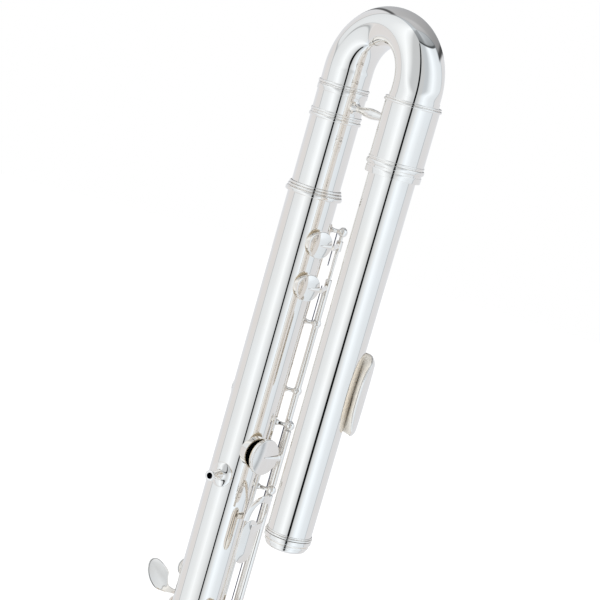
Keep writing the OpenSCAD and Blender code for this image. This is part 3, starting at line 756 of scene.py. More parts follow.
def ring_stacks() -> list[RingStack]:
    """The rings of the crook, the body's top and the head tube's end."""
    return [
        RingStack("crook_collar_rings", "crook_tenon_rings", "crook", 16.53, (
            Bead(885.1, 887.0, 17.31, 0.9), Bead(884.2, 884.9, 16.95, 0.2), Bead(880.4, 884.0, 17.1, 0.5),
            Bead(866.6, 868.3, 17.35, 0.8), Bead(865.2, 866.4, 16.95, 0.2), Bead(862.5, 865.0, 17.61, 1.0))),
        RingStack("receiver_bead_rings", "receiver_rings", "crook", 17.93, (
            Bead(889.2, 890.4, 18.5, 0.55), Bead(887.3, 889.0, 19.0, 0.85), Bead(850.4, 851.6, 18.4, 0.5),
            Bead(846.5, 849.7, 19.0, 1.05), Bead(841.2, 845.0, 18.25, 0.5)), on_head=True),
        RingStack("body_top_rings", "body_rings", "body", 17.08, (
            Bead(816.2, 817.9, 17.75, 0.6), Bead(814.4, 816.0, 18.5, 0.75), Bead(811.0, 814.1, 19.25, 1.1))),
        RingStack("head_end_bead", "head_band", "head", 14.97, (
            Bead(599.7, 600.7, 15.5, 0.45), Bead(598.1, 599.5, 15.9, 0.65)), on_head=True),
    ]


@dataclass
class Crown:
    """Rounded end cap of the head tube with turned steps."""

    low: float = 587.4
    tube_r: float = 14.9
    dome_h: float = 3.4
    flange: float = 0.8
    height: float = 10.45
    screw_r: float = 2.05
    screw_depth: float = 3.0

    def outline(self) -> list[Pair]:
        """Closed (radius, height) outline from the dome's tip up to the tube and down the screw's hole."""
        r, top = self.tube_r, self.height
        shape = [(r * 0.91 * math.sin(t) ** 0.9, self.dome_h * (1 - math.cos(t))) for t in quarter(14)[1:]]
        steps = [(r * 0.91, 4.5), (r * 0.975, 4.75), (r * 0.985, 5.0), (r * 0.985, 6.2), (r * 0.975, 6.45),
                 (r * 0.925, 6.6), (r * 0.925, 7.2), (r * 0.99, 7.45), (r + 0.6, 7.7), (r + self.flange, 8.0),
                 (r + self.flange, 10.2), (r + 0.6, 10.4), (r - 0.2, top)]
        screw = [(self.screw_r, top), (self.screw_r, self.screw_depth), (0.0, self.screw_depth)]
        return [(0.0, 0.0), *shape, *steps, *screw]

    def build(self, finishes: Finishes) -> Piece:
        """Makes the crown.

        Args:
            finishes: The finishes to dress it with.

        Returns:
            The crown.
        """
        place = Matrix.Translation(LAYOUT.head_axis + Vector((0, 0, self.low * MM)))
        verts, faces = turned([(a * MM, b * MM) for a, b in self.outline()], place, RING_STEPS)
        piece = to_object("crown_cap", verts, faces, finishes.ring, 24.0)
        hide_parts("crown")
        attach(piece, "crown")
        return piece


# Lip plate and hand rest socket

@dataclass
class LipPlate:
    """Lip plate whose near and far edges run along the tube and roll down towards it."""

    mid_z: float = 698.8
    hole_z: float = 701.0
    half_l: float = 27.2
    half_a: float = 63.0
    foot_a: float = 27.0
    radius: float = 18.9
    tube_r: float = 15.2
    lean: float = 4.6
    hole_half_w: float = 7.0
    hole_half_l: float = 6.0
    thick: float = 1.6
    swell: float = 0.66
    end_drop: float = 2.1
    end_share: float = 0.8
    bed_depth: float = 1.5
    rim_points: int = 220

    @property
    def half_w(self) -> float:
        """Half the plate's width, measured round it."""
        return math.radians(self.half_a) * self.radius

    def roll(self, z: float) -> float:
        """Drop of the plate towards the tube near its two ends."""
        return self.end_drop * max(0.0, (abs(z) / self.half_l - self.end_share) / 0.2) ** 2

    def spot(self, w: float, z: float, r: float) -> Vector:
        """Point at a distance from the plate's own axis, in metres."""
        a = w / self.radius
        return Vector((self.lean + r * math.cos(a), r * math.sin(a), self.mid_z + z)) * MM

    def top(self, inner: Pair, outer: Pair, share: float) -> Vector:
        """Point of the top face.

        Args:
            inner: Point of the hole's edge, as (round the plate, height from its middle).
            outer: Point of the rim in the same way.
            share: Share of the way from the hole to the rim.

        Returns:
            The point, in metres.
        """
        w, z = between(inner, outer, share)
        swell = self.swell * (1.0 - (abs(z) / self.half_l) ** 4)
        drop = 0.25 * max(0.0, 1.0 - share / 0.03) ** 2 + 0.35 * max(0.0, (share - 0.9) / 0.1) ** 2
        return self.spot(w, z, self.radius - 0.4 + swell - drop - self.roll(z))

    def under(self, w: float, z: float, depth: float) -> Vector:
        """Point a depth below the plate's curve."""
        return self.spot(w, z, self.radius - depth - self.roll(z))

    def rim(self, dense_count: int = 2000) -> list[Pair]:
        """Evenly spaced rim points.

        Args:
            dense_count: Points of the fine outline that they are picked from.

        Returns:
            Points as (millimetres round the plate, height from its middle).
        """
        dense = [(self.half_w * square_off(math.sin(t), 0.62), self.half_l * square_off(math.cos(t), 0.75))
                 for t in turns(dense_count)]
        steps = [math.dist(dense[k], dense[(k + 1) % dense_count]) for k in range(dense_count)]
        gap, run, out = sum(steps) / self.rim_points, 0.0, []
        for point, step in zip(dense, steps):
            if run <= 0.0 and len(out) < self.rim_points:
                out.append(point)
                run += gap
            run -= step
        return out

    def hole(self, rim: Sequence[Pair]) -> list[Pair]:
        """Edge of the hole.

        Args:
            rim: Points of the rim.

        Returns:
            One point for each point of the rim, in the same way.
        """
        shift = self.hole_z - self.mid_z
        out = []
        for w, z in rim:
            t = math.atan2(w / self.hole_half_w, (z - shift) / self.hole_half_l)
            out.append((self.hole_half_w * square_off(math.sin(t), 0.7),
                        shift + self.hole_half_l * square_off(math.cos(t), 0.7)))
        return out

    def build(self, finishes: Finishes) -> Piece:
        """Makes the plate as one closed shell with its hole, and its underside.

        Args:
            finishes: The finishes to dress it with.

        Returns:
            The plate.
        """
        place = Matrix.Translation(LAYOUT.head_axis) @ Matrix.Rotation(math.radians(LAYOUT.lip_a), 4, "Z")
        rim = self.rim()
        hole = self.hole(rim)
        share = [0.0, 0.008, 0.02, *(0.03 + 0.94 * k / 30 for k in range(31)), 0.985, 0.995]
        rings = [[self.top(a, b, q) for a, b in zip(hole, rim)] for q in share]
        rings.append([self.spot(w, z * 1.004, self.radius - 0.75 - self.roll(z)) for w, z in rim])
        rings += [[self.under(*between(a, b, q), self.thick) for a, b in zip(hole, rim)]
                  for q in (0.99, 0.9, 0.6, 0.3, 0.0)]
        rings = [[place @ v for v in ring] for ring in rings]
        piece = to_object("lip_plate_dressed", *loft(rings, loop=True), finishes.lip, 60.0)
        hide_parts("lip_plate")
        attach(piece, "head")
        self.bed(finishes, place, rim, hole)
        return piece

    def bed(self, finishes: Finishes, place: Matrix, rim: Sequence[Pair], hole: Sequence[Pair]) -> None:
        """Makes the underside that closes the gap between the plate and the tube, in a matte pale beige that
        is painted warm reflection, made light to paint over the shade under the plate.

        Args:
            finishes: The finishes to dress it with.
            place: Matrix from the plate's frame to the row frame.
            rim: Points of the rim.
            hole: Points of the hole's edge.
        """
        sides = []
        for w, z in rim:
            a = w / self.half_w * math.radians(self.foot_a)
            lower = self.under(w * 0.985, z * 0.985, self.bed_depth)
            foot = Vector((self.tube_r * math.cos(a), self.tube_r * math.sin(a), self.mid_z + z * 0.93)) * MM
            hollow = (lower + foot) / 2 - Vector((0.35, 0.0, 0.0)) * MM
            sides.append([lower, *spline([lower, hollow, foot], 5)[1:]])
        rings = [[self.under(w, z, self.bed_depth) for w, z in hole], *(list(ring) for ring in zip(*sides)),
                 [Vector((math.sqrt(self.tube_r ** 2 - w * w), w, self.mid_z + z)) * MM for w, z in hole]]
        rings = [[place @ v for v in ring] for ring in rings]
        # The underside's matte beige is painted warm reflection and painted light over its shade.
        piece = to_object("lip_plate_underside", *loft(rings, loop=True), finishes.underside_painted_reflection, 60.0)
        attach(piece, "head")


@dataclass
class RestSocket:
    """Socket for the left-hand rest: a domed oval foot on the tube and a bored boss."""

    z: float = 615.5
    angle: float = -157.0
    half_l: float = 8.6
    half_w: float = 8.2
    boss_h: float = 14.0
    bore_r: float = 2.1
    bore_depth: float = 11.0

    def painted_shade_lining(self, finishes: Finishes, place: Matrix, top: float) -> None:
        """Makes the dark skin inside the bore, painted shade that darkens the deep hole.

        Args:
            finishes: The finishes to dress it with.
            place: Matrix from the boss's frame to the row frame.
            top: Height of the boss's top over the bore axis of the body.
        """
        outer, inner = self.bore_r - 0.01, self.bore_r - 0.06
        skin = [(0.0, top - 10.98), (outer, top - 10.98), (outer, top - 0.45), (inner, top - 0.45),
                (inner, top - 10.9), (0.0, top - 10.9)]
        # Painted shade: dark steel lines the bore so that the deep hole reads dark.
        verts, faces = turned([(a * MM, b * MM) for a, b in skin], place, 48)
        piece = to_object("hand_rest_bore", verts, faces, finishes.spring, 40.0)
        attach(piece, "body")

    def build(self, finishes: Finishes) -> Piece:
        """Makes the socket as one closed shape, and the skin of its bore.

        Args:
            finishes: The finishes to dress it with.

        Returns:
            The socket.
        """
        tube = LAYOUT.body_r / MM
        top = tube + self.boss_h
        place = outward(self.z, self.angle, 0.0)
        # (share of the foot, height over the tube) under the boss, then (radius, distance from the bore axis)
        foot = [(0.0, -0.25), (0.5, -0.25), (0.97, -0.25), (1.0, 0.0), (1.0, 0.35), (0.97, 0.7),
                (0.9, 1.15), (0.8, 1.55), (0.7, 1.85), (0.6, 2.1)]
        floor = top - self.bore_depth
        boss = [(3.75, tube + 2.35), (3.4, tube + 2.8), (3.2, tube + 3.6), (3.15, tube + 8.0),
                (3.2, top - 2.6), (3.45, top - 2.1), (3.7, top - 1.6), (3.8, top - 1.0), (3.72, top - 0.4),
                (3.4, top - 0.08), (3.05, top), (2.4, top), (2.15, top - 0.15), (self.bore_r, top - 0.5),
                (self.bore_r, floor), (0.0, floor)]
        rings = []
        for q, over in foot:
            spots = [(self.half_l * q * math.cos(t), self.half_w * q * math.sin(t)) for t in turns(64)]
            rings.append([place @ (Vector((x, y, math.sqrt(tube * tube - y * y) + over)) * MM)
                          for x, y in spots])
        for r, h in boss:
            rings.append([place @ (Vector((r * math.cos(t), r * math.sin(t), h)) * MM) for t in turns(64)])
        self.painted_shade_lining(finishes, place, top)
        piece = to_object("hand_rest_socket_dressed", *loft(rings), finishes.tube, 40.0)
        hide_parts("hand_rest_socket")
        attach(piece, "body")
        return piece


# Keywork

def station(z: float, angle: float) -> Matrix:
    """Frame on the bore axis at a height, with X out along the angle; millimetres in, metres out."""
    return Matrix.Translation((0, 0, z * MM)) @ Matrix.Rotation(math.radians(angle), 4, "Z")


def outward(z: float, angle: float, radius: float) -> Matrix:
    """Frame out from the bore axis, with Z out, X down the bore and Y round it.

    Args:
        z: Height, in millimetres.
        angle: Direction from the bore axis, in degrees.
        radius: Distance from the bore axis, in millimetres.

    Returns:
        The frame's matrix, in metres.
    """
    axes = Matrix(((0, 0, 1, 0), (0, 1, 0, 0), (-1, 0, 0, 0), (0, 0, 0, 1)))
    return station(z, angle) @ Matrix.Translation((radius * MM, 0, 0)) @ axes


# Section of a cup's arm, ridged on top, as shares of its height and half width
ARM_SECTION = ((1.0, 0.0), (0.72, 0.3), (0.35, 0.72), (0.0, 1.0), (-0.35, 0.85), (-0.8, 0.75), (-1.0, 0.4),
               (-1.0, -0.4), (-0.8, -0.75), (-0.35, -0.85), (0.0, -1.0), (0.35, -0.72), (0.72, -0.3))


@dataclass(frozen=True)
class Cup:
    """Padded key cup with its pointed arm to the rod line."""

    z: float
    hole_a: float
    radius: float
    seat_r: float = 19.7
    pad_t: float = 2.6
    wall: float = 0.8
    edge_r: float = 0.75
    dome: float = 1.0

    @property
    def top(self) -> float:
        """Height of the cup's edge over its seat."""
        return self.pad_t + 1.0

    def shell(self) -> list[Pair]:
        """Solid (radius, height) outline of the cup, in millimetres."""
        r, top, edge = self.radius, self.top, self.edge_r
        points = [(0.0, self.pad_t), (r - self.wall, self.pad_t), (r - self.wall, 1.05),
                  (r - 0.35, 1.0), (r - 0.08, 1.12), (r, 1.35)]
        points += [(r - edge + edge * math.cos(t), top - edge + edge * math.sin(t)) for t in quarter(8)]
        for k in range(1, 22):
            q = 1 - k / 22
            points.append(((r - edge) * q, top + self.dome * (1 - q * q)))
        return points + [(0.0, top + self.dome)]

    def arm(self, rod_a: float, line_r: float) -> Shape:
        """Pointed spine that runs from the cup's middle over its rim to the rod tube.

        Args:
            rod_a: Direction of the rod line, in degrees.
            line_r: Distance of the rod line from the bore axis, in millimetres.

        Returns:
            Points and faces.
        """
        turn = math.radians(rod_a - self.hole_a)
        px, py = line_r * math.cos(turn), line_r * math.sin(turn)
        s = 1.0 if turn > 0 else -1.0
        top = self.seat_r + self.top
        r = self.radius
        gap = Vector((top + 0.9 - px, s * (r + 0.6) - py)).normalized() * 1.85
        path = [(top + self.dome + 0.05, -s * r * 0.12), (top + self.dome + 0.35, s * r * 0.25),
                (top + 1.25, s * r * 0.6), (top + 0.95, s * r * 0.9), (top + 0.7, s * (r + 0.8)),
                (px + gap.x, py + gap.y)]
        line = spline([(u, v, 0.0) for u, v in path], 6)
        place = station(self.z, self.hole_a)
        rings = []
        for k, mid in enumerate(line):
            share = k / (len(line) - 1)
            ahead = (line[min(k + 1, len(line) - 1)] - line[max(k - 1, 0)]).normalized()
            out = Vector((ahead.y, -ahead.x, 0.0)) * s
            wide = 0.35 + 2.0 * share ** 0.8
            tall = 0.35 + 0.75 * share ** 0.7
            rings.append([place @ ((mid + out * (a * tall) + Vector((0, 0, b * wide))) * MM)
                          for a, b in ARM_SECTION])
        return loft(rings)

    def build(self, rod_a: float, line_r: float) -> list[Shape]:
        """Cup and arm."""
        place = outward(self.z, self.hole_a, self.seat_r)
        return [turned([(a * MM, b * MM) for a, b in self.shell()], place, 96), self.arm(rod_a, line_r)]


@dataclass(frozen=True)
class Touch:
    """Finger plate with rounded edges, its length along the bore."""

    z: float
    angle: float
    radius: float
    length: float
    width: float
    thick: float = 1.8
    ridge: float = 0.0

    def outline(self, inset: float) -> list[Pair]:
        """Stadium outline drawn in by inset, as (along, across)."""
        half_l, half_w = self.length / 2 - inset, self.width / 2 - inset
        run = max(half_l - half_w, 0.0)
        return [(half_w * math.cos(t) + math.copysign(run, math.cos(t)), half_w * math.sin(t))
                for t in turns(64)]

    def levels(self) -> list[Pair]:
        """Rings of the skin from the underside to the crown, as (inset, height)."""
        half_w = self.width / 2
        crown = 0.55 + self.ridge
        edge = self.thick - crown
        power = 2.0 if self.ridge == 0 else 1.15
        out = [(half_w * 0.5, 0.0), (0.5, 0.0), (0.15, 0.12), (0.0, 0.45),
               (0.0, edge - 0.3), (0.12, edge - 0.08), (0.4, edge)]
        return out + [(half_w * q, edge + crown * (1 - (1 - q) ** power)) for q in (0.2, 0.4, 0.6, 0.8, 0.95)]

    def build(self) -> list[Shape]:
        """Plate as one closed shape."""
        place = outward(self.z, self.angle, self.radius)
        limit = self.width / 2 - 0.05
        rings = []
        for inset, h in self.levels():
            rings.append([place @ (Vector((-a, b, h)) * MM) for a, b in self.outline(min(inset, limit))])
        return [loft(rings)]


@dataclass(frozen=True)
class Paddle:
    """Flat plate with rounded edges across the way that its key swings, placed as the open key holds it."""

    points: tuple[Pair, ...]
    z: float
    depth: float
    thick: float = 1.8
    angle: float = 142.0
    smooth: int = 6
    tilt: float = 9.0
    tilt_at: float = 18.0

    def outline(self) -> list[Vector]:
        """Closed outline as (out from the bore, along it), smoothed where smooth is above 1."""
        if self.smooth < 2:
            return [Vector((a, b)) for a, b in self.points]
        ring = list(self.points)
        curve = spline([(a, b, 0.0) for a, b in ring[-2:] + ring + ring[:2]], self.smooth)
        return [Vector((q.x, q.y)) for q in curve[self.smooth * 2:self.smooth * (len(ring) + 2)]]

    def levels(self) -> list[Pair]:
        """Rings of the skin from one face to the other, as (inset, height)."""
        half = self.thick / 2
        return [(1.2, -half), (0.5, -half), (0.16, -half + 0.08), (0.0, -half + 0.35),
                (0.0, half - 0.35), (0.16, half - 0.08), (0.5, half), (1.2, half)]

    def build(self) -> list[Shape]:
        """Plate as one closed shape."""
        line = self.outline()
        count = len(line)
        area = sum(line[k - 1].x * line[k].y - line[k].x * line[k - 1].y for k in range(count))
        side = 1.0 if area > 0 else -1.0
        inward = []
        for k in range(count):
            along = (line[(k + 1) % count] - line[k - 1]).normalized()
            inward.append(Vector((-along.y, along.x)) * side)
        slope = math.tan(math.radians(self.tilt))
        place = station(self.z, self.angle)
        rings = []
        for inset, h in self.levels():
            ring = []
            for p, n in zip(line, inward):
                height = -self.depth + h + (p.x - self.tilt_at) * slope
                ring.append(place @ (Vector((p.x + n.x * inset, height, p.y + n.y * inset)) * MM))
            rings.append(ring)
        return [loft(rings)]


@dataclass(frozen=True)
class Bar:
    """Curved strap from a rod tube round the body to a finger plate."""

    z: float
    radius: float
    from_a: float
    to_a: float
    wide: float = 5.0
    thick: float = 1.8

    def build(self) -> list[Shape]:
        """Strap as one closed shape with rounded edges."""
        count = max(6, int(abs(self.to_a - self.from_a) / 3))
        half = self.thick / 2
        section = [(self.radius + half + half * square_off(math.cos(t), 0.55),
                    self.wide / 2 * square_off(math.sin(t), 0.45)) for t in turns(16)]
        rings = []
        for k in range(count + 1):
            place = station(self.z, self.from_a + (self.to_a - self.from_a) * k / count)
            rings.append([place @ (Vector((out, 0, along)) * MM) for out, along in section])
        return [loft(rings)]


@dataclass(frozen=True)
class Arch:
    """Strap that arches from a rod tube over to the top of a finger plate, round when seen from the front."""

    low: float
    high: float
    from_a: float
    to_a: float
    radius: float = 27.4
    lift: float = 3.4
    rise: float = 18.0
    wide: float = 2.3
    front: float = -135.0
    thick: float = 0.7
    steps: int = 32

    def middle(self) -> tuple[list[Vector], list[Vector]]:
        """Middle line of the strap, in millimetres, and the way out from the bore at each point."""
        line, outs = [], []
        far, near = (math.sin(math.radians(a - self.front)) for a in (self.from_a, self.to_a))
        for k in range(self.steps + 1):
            t = k / self.steps
            bow = math.sin(math.pi * t)
            across = (far + near) / 2 + (far - near) / 2 * math.cos(math.pi * t)
            way = LAYOUT.ring_dir(self.front + math.degrees(math.asin(across)))
            height = self.low + (self.high - self.low) * t + self.rise * bow ** 0.75
            line.append(way * (self.radius + self.lift * bow) + Vector((0, 0, height)))
            outs.append(way)
        return line, outs

    def build(self) -> list[Shape]:
        """Strap as one closed shape."""
        line, outs = self.middle()
        section = [(self.thick * square_off(math.cos(t), 0.6), self.wide * square_off(math.sin(t), 0.5))
                   for t in turns(16)]
        rings = []
        for k, (mid, way) in enumerate(zip(line, outs)):
            ahead = (line[min(k + 1, self.steps)] - line[max(k - 1, 0)]).normalized()
            side = ahead.cross(way).normalized()
            out = side.cross(ahead).normalized()
            rings.append([(mid + out * a + side * b) * MM for a, b in section])
        return [loft(rings)]


@dataclass(frozen=True)
class Sleeve:
    """Length of rod tube, bored for the rod."""

    low: float
    high: float
    outer: float = 2.3
    bore: float = 1.3
    broken: float = 0.25

    def build(self, rod_a: float, line_r: float) -> list[Shape]:
        """Tube with slightly broken end edges.

        Args:
            rod_a: Direction of the rod line, in degrees.
            line_r: Distance of the rod line from the bore axis, in millimetres.

        Returns:
            Points and faces.
        """
        place = Matrix.Translation(LAYOUT.ring_dir(rod_a) * line_r * MM)
        c = self.broken
        shape = [(self.bore, self.low), (self.outer - c, self.low), (self.outer, self.low + c),
                 (self.outer, self.high - c), (self.outer - c, self.high), (self.bore, self.high)]
        return [turned([(a * MM, b * MM) for a, b in shape], place, 40)]


@dataclass(frozen=True)
class Shaft:
    """Solid key shaft that turns inside another key's tube."""

    low: float
    high: float
    radius: float = 1.25
    broken: float = 0.2

    def build(self, rod_a: float, line_r: float) -> list[Shape]:
        """Plain rod with slightly broken end edges.

        Args:
            rod_a: Direction of the rod line, in degrees.
            line_r: Distance of the rod line from the bore axis, in millimetres.

        Returns:
            Points and faces.
        """
        place = Matrix.Translation(LAYOUT.ring_dir(rod_a) * line_r * MM)
        r, c = self.radius, self.broken
        shape = [(0.0, self.low), (r - c, self.low), (r, self.low + c),
                 (r, self.high - c), (r - c, self.high), (0.0, self.high)]
        return [turned([(a * MM, b * MM) for a, b in shape], place, 40)]


@dataclass
class Key:
    """One key: its tubes, cups, straps and finger plates, in the pose it rests in."""

    node: str
    body: str
    rod_a: float
    line_r: float
    rest_turn: float = 0.0
    sleeves: tuple[Sleeve, ...] = ()
    shafts: tuple[Shaft, ...] = ()
    cups: tuple[Cup, ...] = ()
    plates: tuple[Touch | Bar | Arch, ...] = ()
    still: tuple[Paddle, ...] = ()

    def build(self, finishes: Finishes) -> Piece:
        """Makes the key as one mesh.

        Args:
            finishes: The finishes to dress it with.

        Returns:
            The key.
        """
        verts: list[Vector] = []
        faces: list[tuple[int, ...]] = []
        for part in (*self.sleeves, *self.shafts, *self.cups):
            for shape in part.build(self.rod_a, self.line_r):
                add(verts, faces, shape)
        for part in self.plates:
            for shape in part.build():
                add(verts, faces, shape)
        line = LAYOUT.ring_dir(self.rod_a) * self.line_r * MM
        swing = Matrix.Rotation(math.radians(self.rest_turn), 4, "Z")
        turn = Matrix.Translation(line) @ swing @ Matrix.Translation(-line)
        verts = [turn @ v for v in verts]
        for plate in self.still:
            for shape in plate.build():
                add(verts, faces, shape)
        piece = to_object(self.node + "_dressed", verts, faces, finishes.key, 32.0)
        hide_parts(self.node)
        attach(piece, self.body + "_key")
        return piece


# Plates as (out from the bore, along it): the thumb key's teardrop, and its lever's round head and stem
THUMB_SHAPE = ((11.7, 2.2), (16.0, 2.2), (16.2, -4.0), (17.6, -9.0), (22.6, -7.4), (24.4, -2.6), (25.4, 2.4),
               (29.6, 6.6), (34.3, 9.4), (37.6, 9.4), (39.9, 7.4), (40.4, 4.0), (39.3, -1.2), (36.2, -6.8),
               (31.6, -11.0), (26.5, -12.3), (20.5, -12.3), (13.5, -12.2), (11.7, -9.5), (11.6, -3.0))
LEVER_HEAD = tuple((13.05 + 7.5 * math.cos(math.radians(a)), 7.5 * math.sin(math.radians(a)))
                   for a in range(-60, 210, 15))
LEVER_SHAPE = (*LEVER_HEAD, (5.15, -8.5), (5.1, -14.0), (5.3, -17.2), (9.4, -17.2), (9.65, -14.0),
               (9.9, -9.5), (12.6, -7.6))
LEVER_BLOCK = ((5.05, -2.45), (9.65, -2.45), (9.65, 2.45), (5.05, 2.45))

# Rod lines as (direction, distance from the bore axis)
MAIN, TRILL, BACK = (-44.0, 27.5), (-24.0, 26.5), (22.0, 27.0)
LEFT, FOOT_LEFT = (-139.0, 27.5), (-136.0, 27.5)
# Directions of the tone holes
FRONT, REAR, SIDE = -90.0, 67.0, -185.0
BIG, SMALL = 12.5, 9.2
OPEN = 11.0


def main_key(name: str, low: float, high: float, cups: Sequence[float], *plates: Touch | Bar | Arch) -> Key:
    """Makes an open-standing key of the main line.

    Args:
        name: The key's short name.
        low: Height of its tube's lower end, in millimetres.
        high: Height of its tube's upper end.
        cups: Heights of its cups.
        plates: Its straps and finger plates.

    Returns:
        The key.
    """
    dressed = tuple(Cup(z, FRONT, BIG, dome=0.62) for z in cups)
    return Key(name + "_key", name, *MAIN, OPEN, (Sleeve(low, high),), (), dressed, plates)


def body_keys() -> list[Key]:
    """Keys of the body's front and left side, from the foot up."""
    return [
        main_key("d", 269.5, 304.9, [280]),
        main_key("e", 305.1, 351.9, [330]),
        main_key("f", 352.1, 388.0, [374]),
        main_key("f_sharp", 395.0, 420.0, [409]),
        main_key("g", 427.0, 501.4, [438, 487]),
        main_key("a", 501.6, 608.0, [516], Arch(590.0, 593.0, -47.5, -102.0), Bar(587.5, 26.2, -90.0, -47.5),
                 Touch(577.5, -88.0, 26.2, 31.0, 15.0, ridge=0.5)),
        main_key("b_flat", 615.0, 654.0, [636]),
        Key("g_sharp_key", "g_sharp", *LEFT, 0.0, (Sleeve(464.5, 491.5),), (), (Cup(486, SIDE, BIG),),
            (Bar(467.5, 28.1, -136.5, -119.0), Touch(462.5, -115.0, 28.1, 22.0, 9.0))),
    ]


def trill_and_back_keys() -> list[Key]:
    """Keys of the trill line and of the back line."""
    return [
        Key("d_sharp_trill_key", "d_sharp_trill", *TRILL, 0.0, (Sleeve(442.0, 449.0), Sleeve(779.0, 786.0)),
            (Shaft(434.7, 795.3),), (Cup(782.5, FRONT, SMALL),),
            (Bar(445.5, 25.5, -20.5, 2.0), Touch(445.5, 7.0, 25.5, 11.0, 8.0))),
        Key("d_trill_key", "d_trill", *TRILL, 0.0, (Sleeve(452.0, 759.0),), (), (Cup(753, FRONT, SMALL),),
            (Bar(460.0, 25.5, -20.5, 2.0), Touch(460.0, 7.0, 25.5, 11.0, 8.0))),
        Key("c_sharp_key", "c_sharp", *BACK, -OPEN, (Sleeve(504.0, 511.0), Sleeve(715.5, 722.5)),
            (Shaft(496.7, 735.3),), (Cup(719, REAR, SMALL),),
            (Bar(507.5, 27.8, 25.5, 82.0), Touch(501.5, 86.0, 27.8, 22.0, 10.0))),
        Key("thumb_b_key", "thumb_b", *BACK, -OPEN, (Sleeve(522.2, 694.0),), (), (Cup(668, REAR, BIG),),
            (Bar(525.0, 27.8, 25.5, 85.0),), (Paddle(THUMB_SHAPE, 525.3, 29.6),)),
        Key("thumb_b_flat_lever", "thumb_b_flat", *BACK, -OPEN, (Sleeve(512.0, 522.0),), (), (),
            (Bar(517.0, 27.8, 25.5, 70.0),),
            (Paddle(LEVER_BLOCK, 517.0, 33.75, 5.2, smooth=1, tilt=0.0), Paddle(LEVER_SHAPE, 531.8, 35.5))),
    ]


def foot_keys() -> list[Key]:
    """Keys of the foot joint."""
    return [
        Key("foot_d_sharp_key", "foot_d_sharp", *FOOT_LEFT, 0.0, (Sleeve(206.5, 237.5),), (),
            (Cup(218, FRONT, BIG),),
            (Bar(231.5, 27.9, -158.0, -138.5), Touch(229.5, -164.0, 27.9, 30.0, 12.0))),
        Key("foot_c_sharp_key", "foot_c_sharp", *MAIN, OPEN, (Sleeve(140.0, 239.5),), (),
            (Cup(152, FRONT, BIG),), (Bar(235.5, 27.0, -68.0, -47.5), Touch(235.5, -72.0, 27.0, 12.0, 8.0))),
        Key("foot_low_c_key", "foot_low_c", *MAIN, OPEN, (Sleeve(78.5, 85.5), Sleeve(241.0, 248.0)),
            (Shaft(62.7, 255.3),), (Cup(82, FRONT, BIG),),
            (Bar(244.5, 27.0, -82.0, -47.5), Touch(244.5, -86.0, 27.0, 12.0, 8.0))),
    ]


# Studio

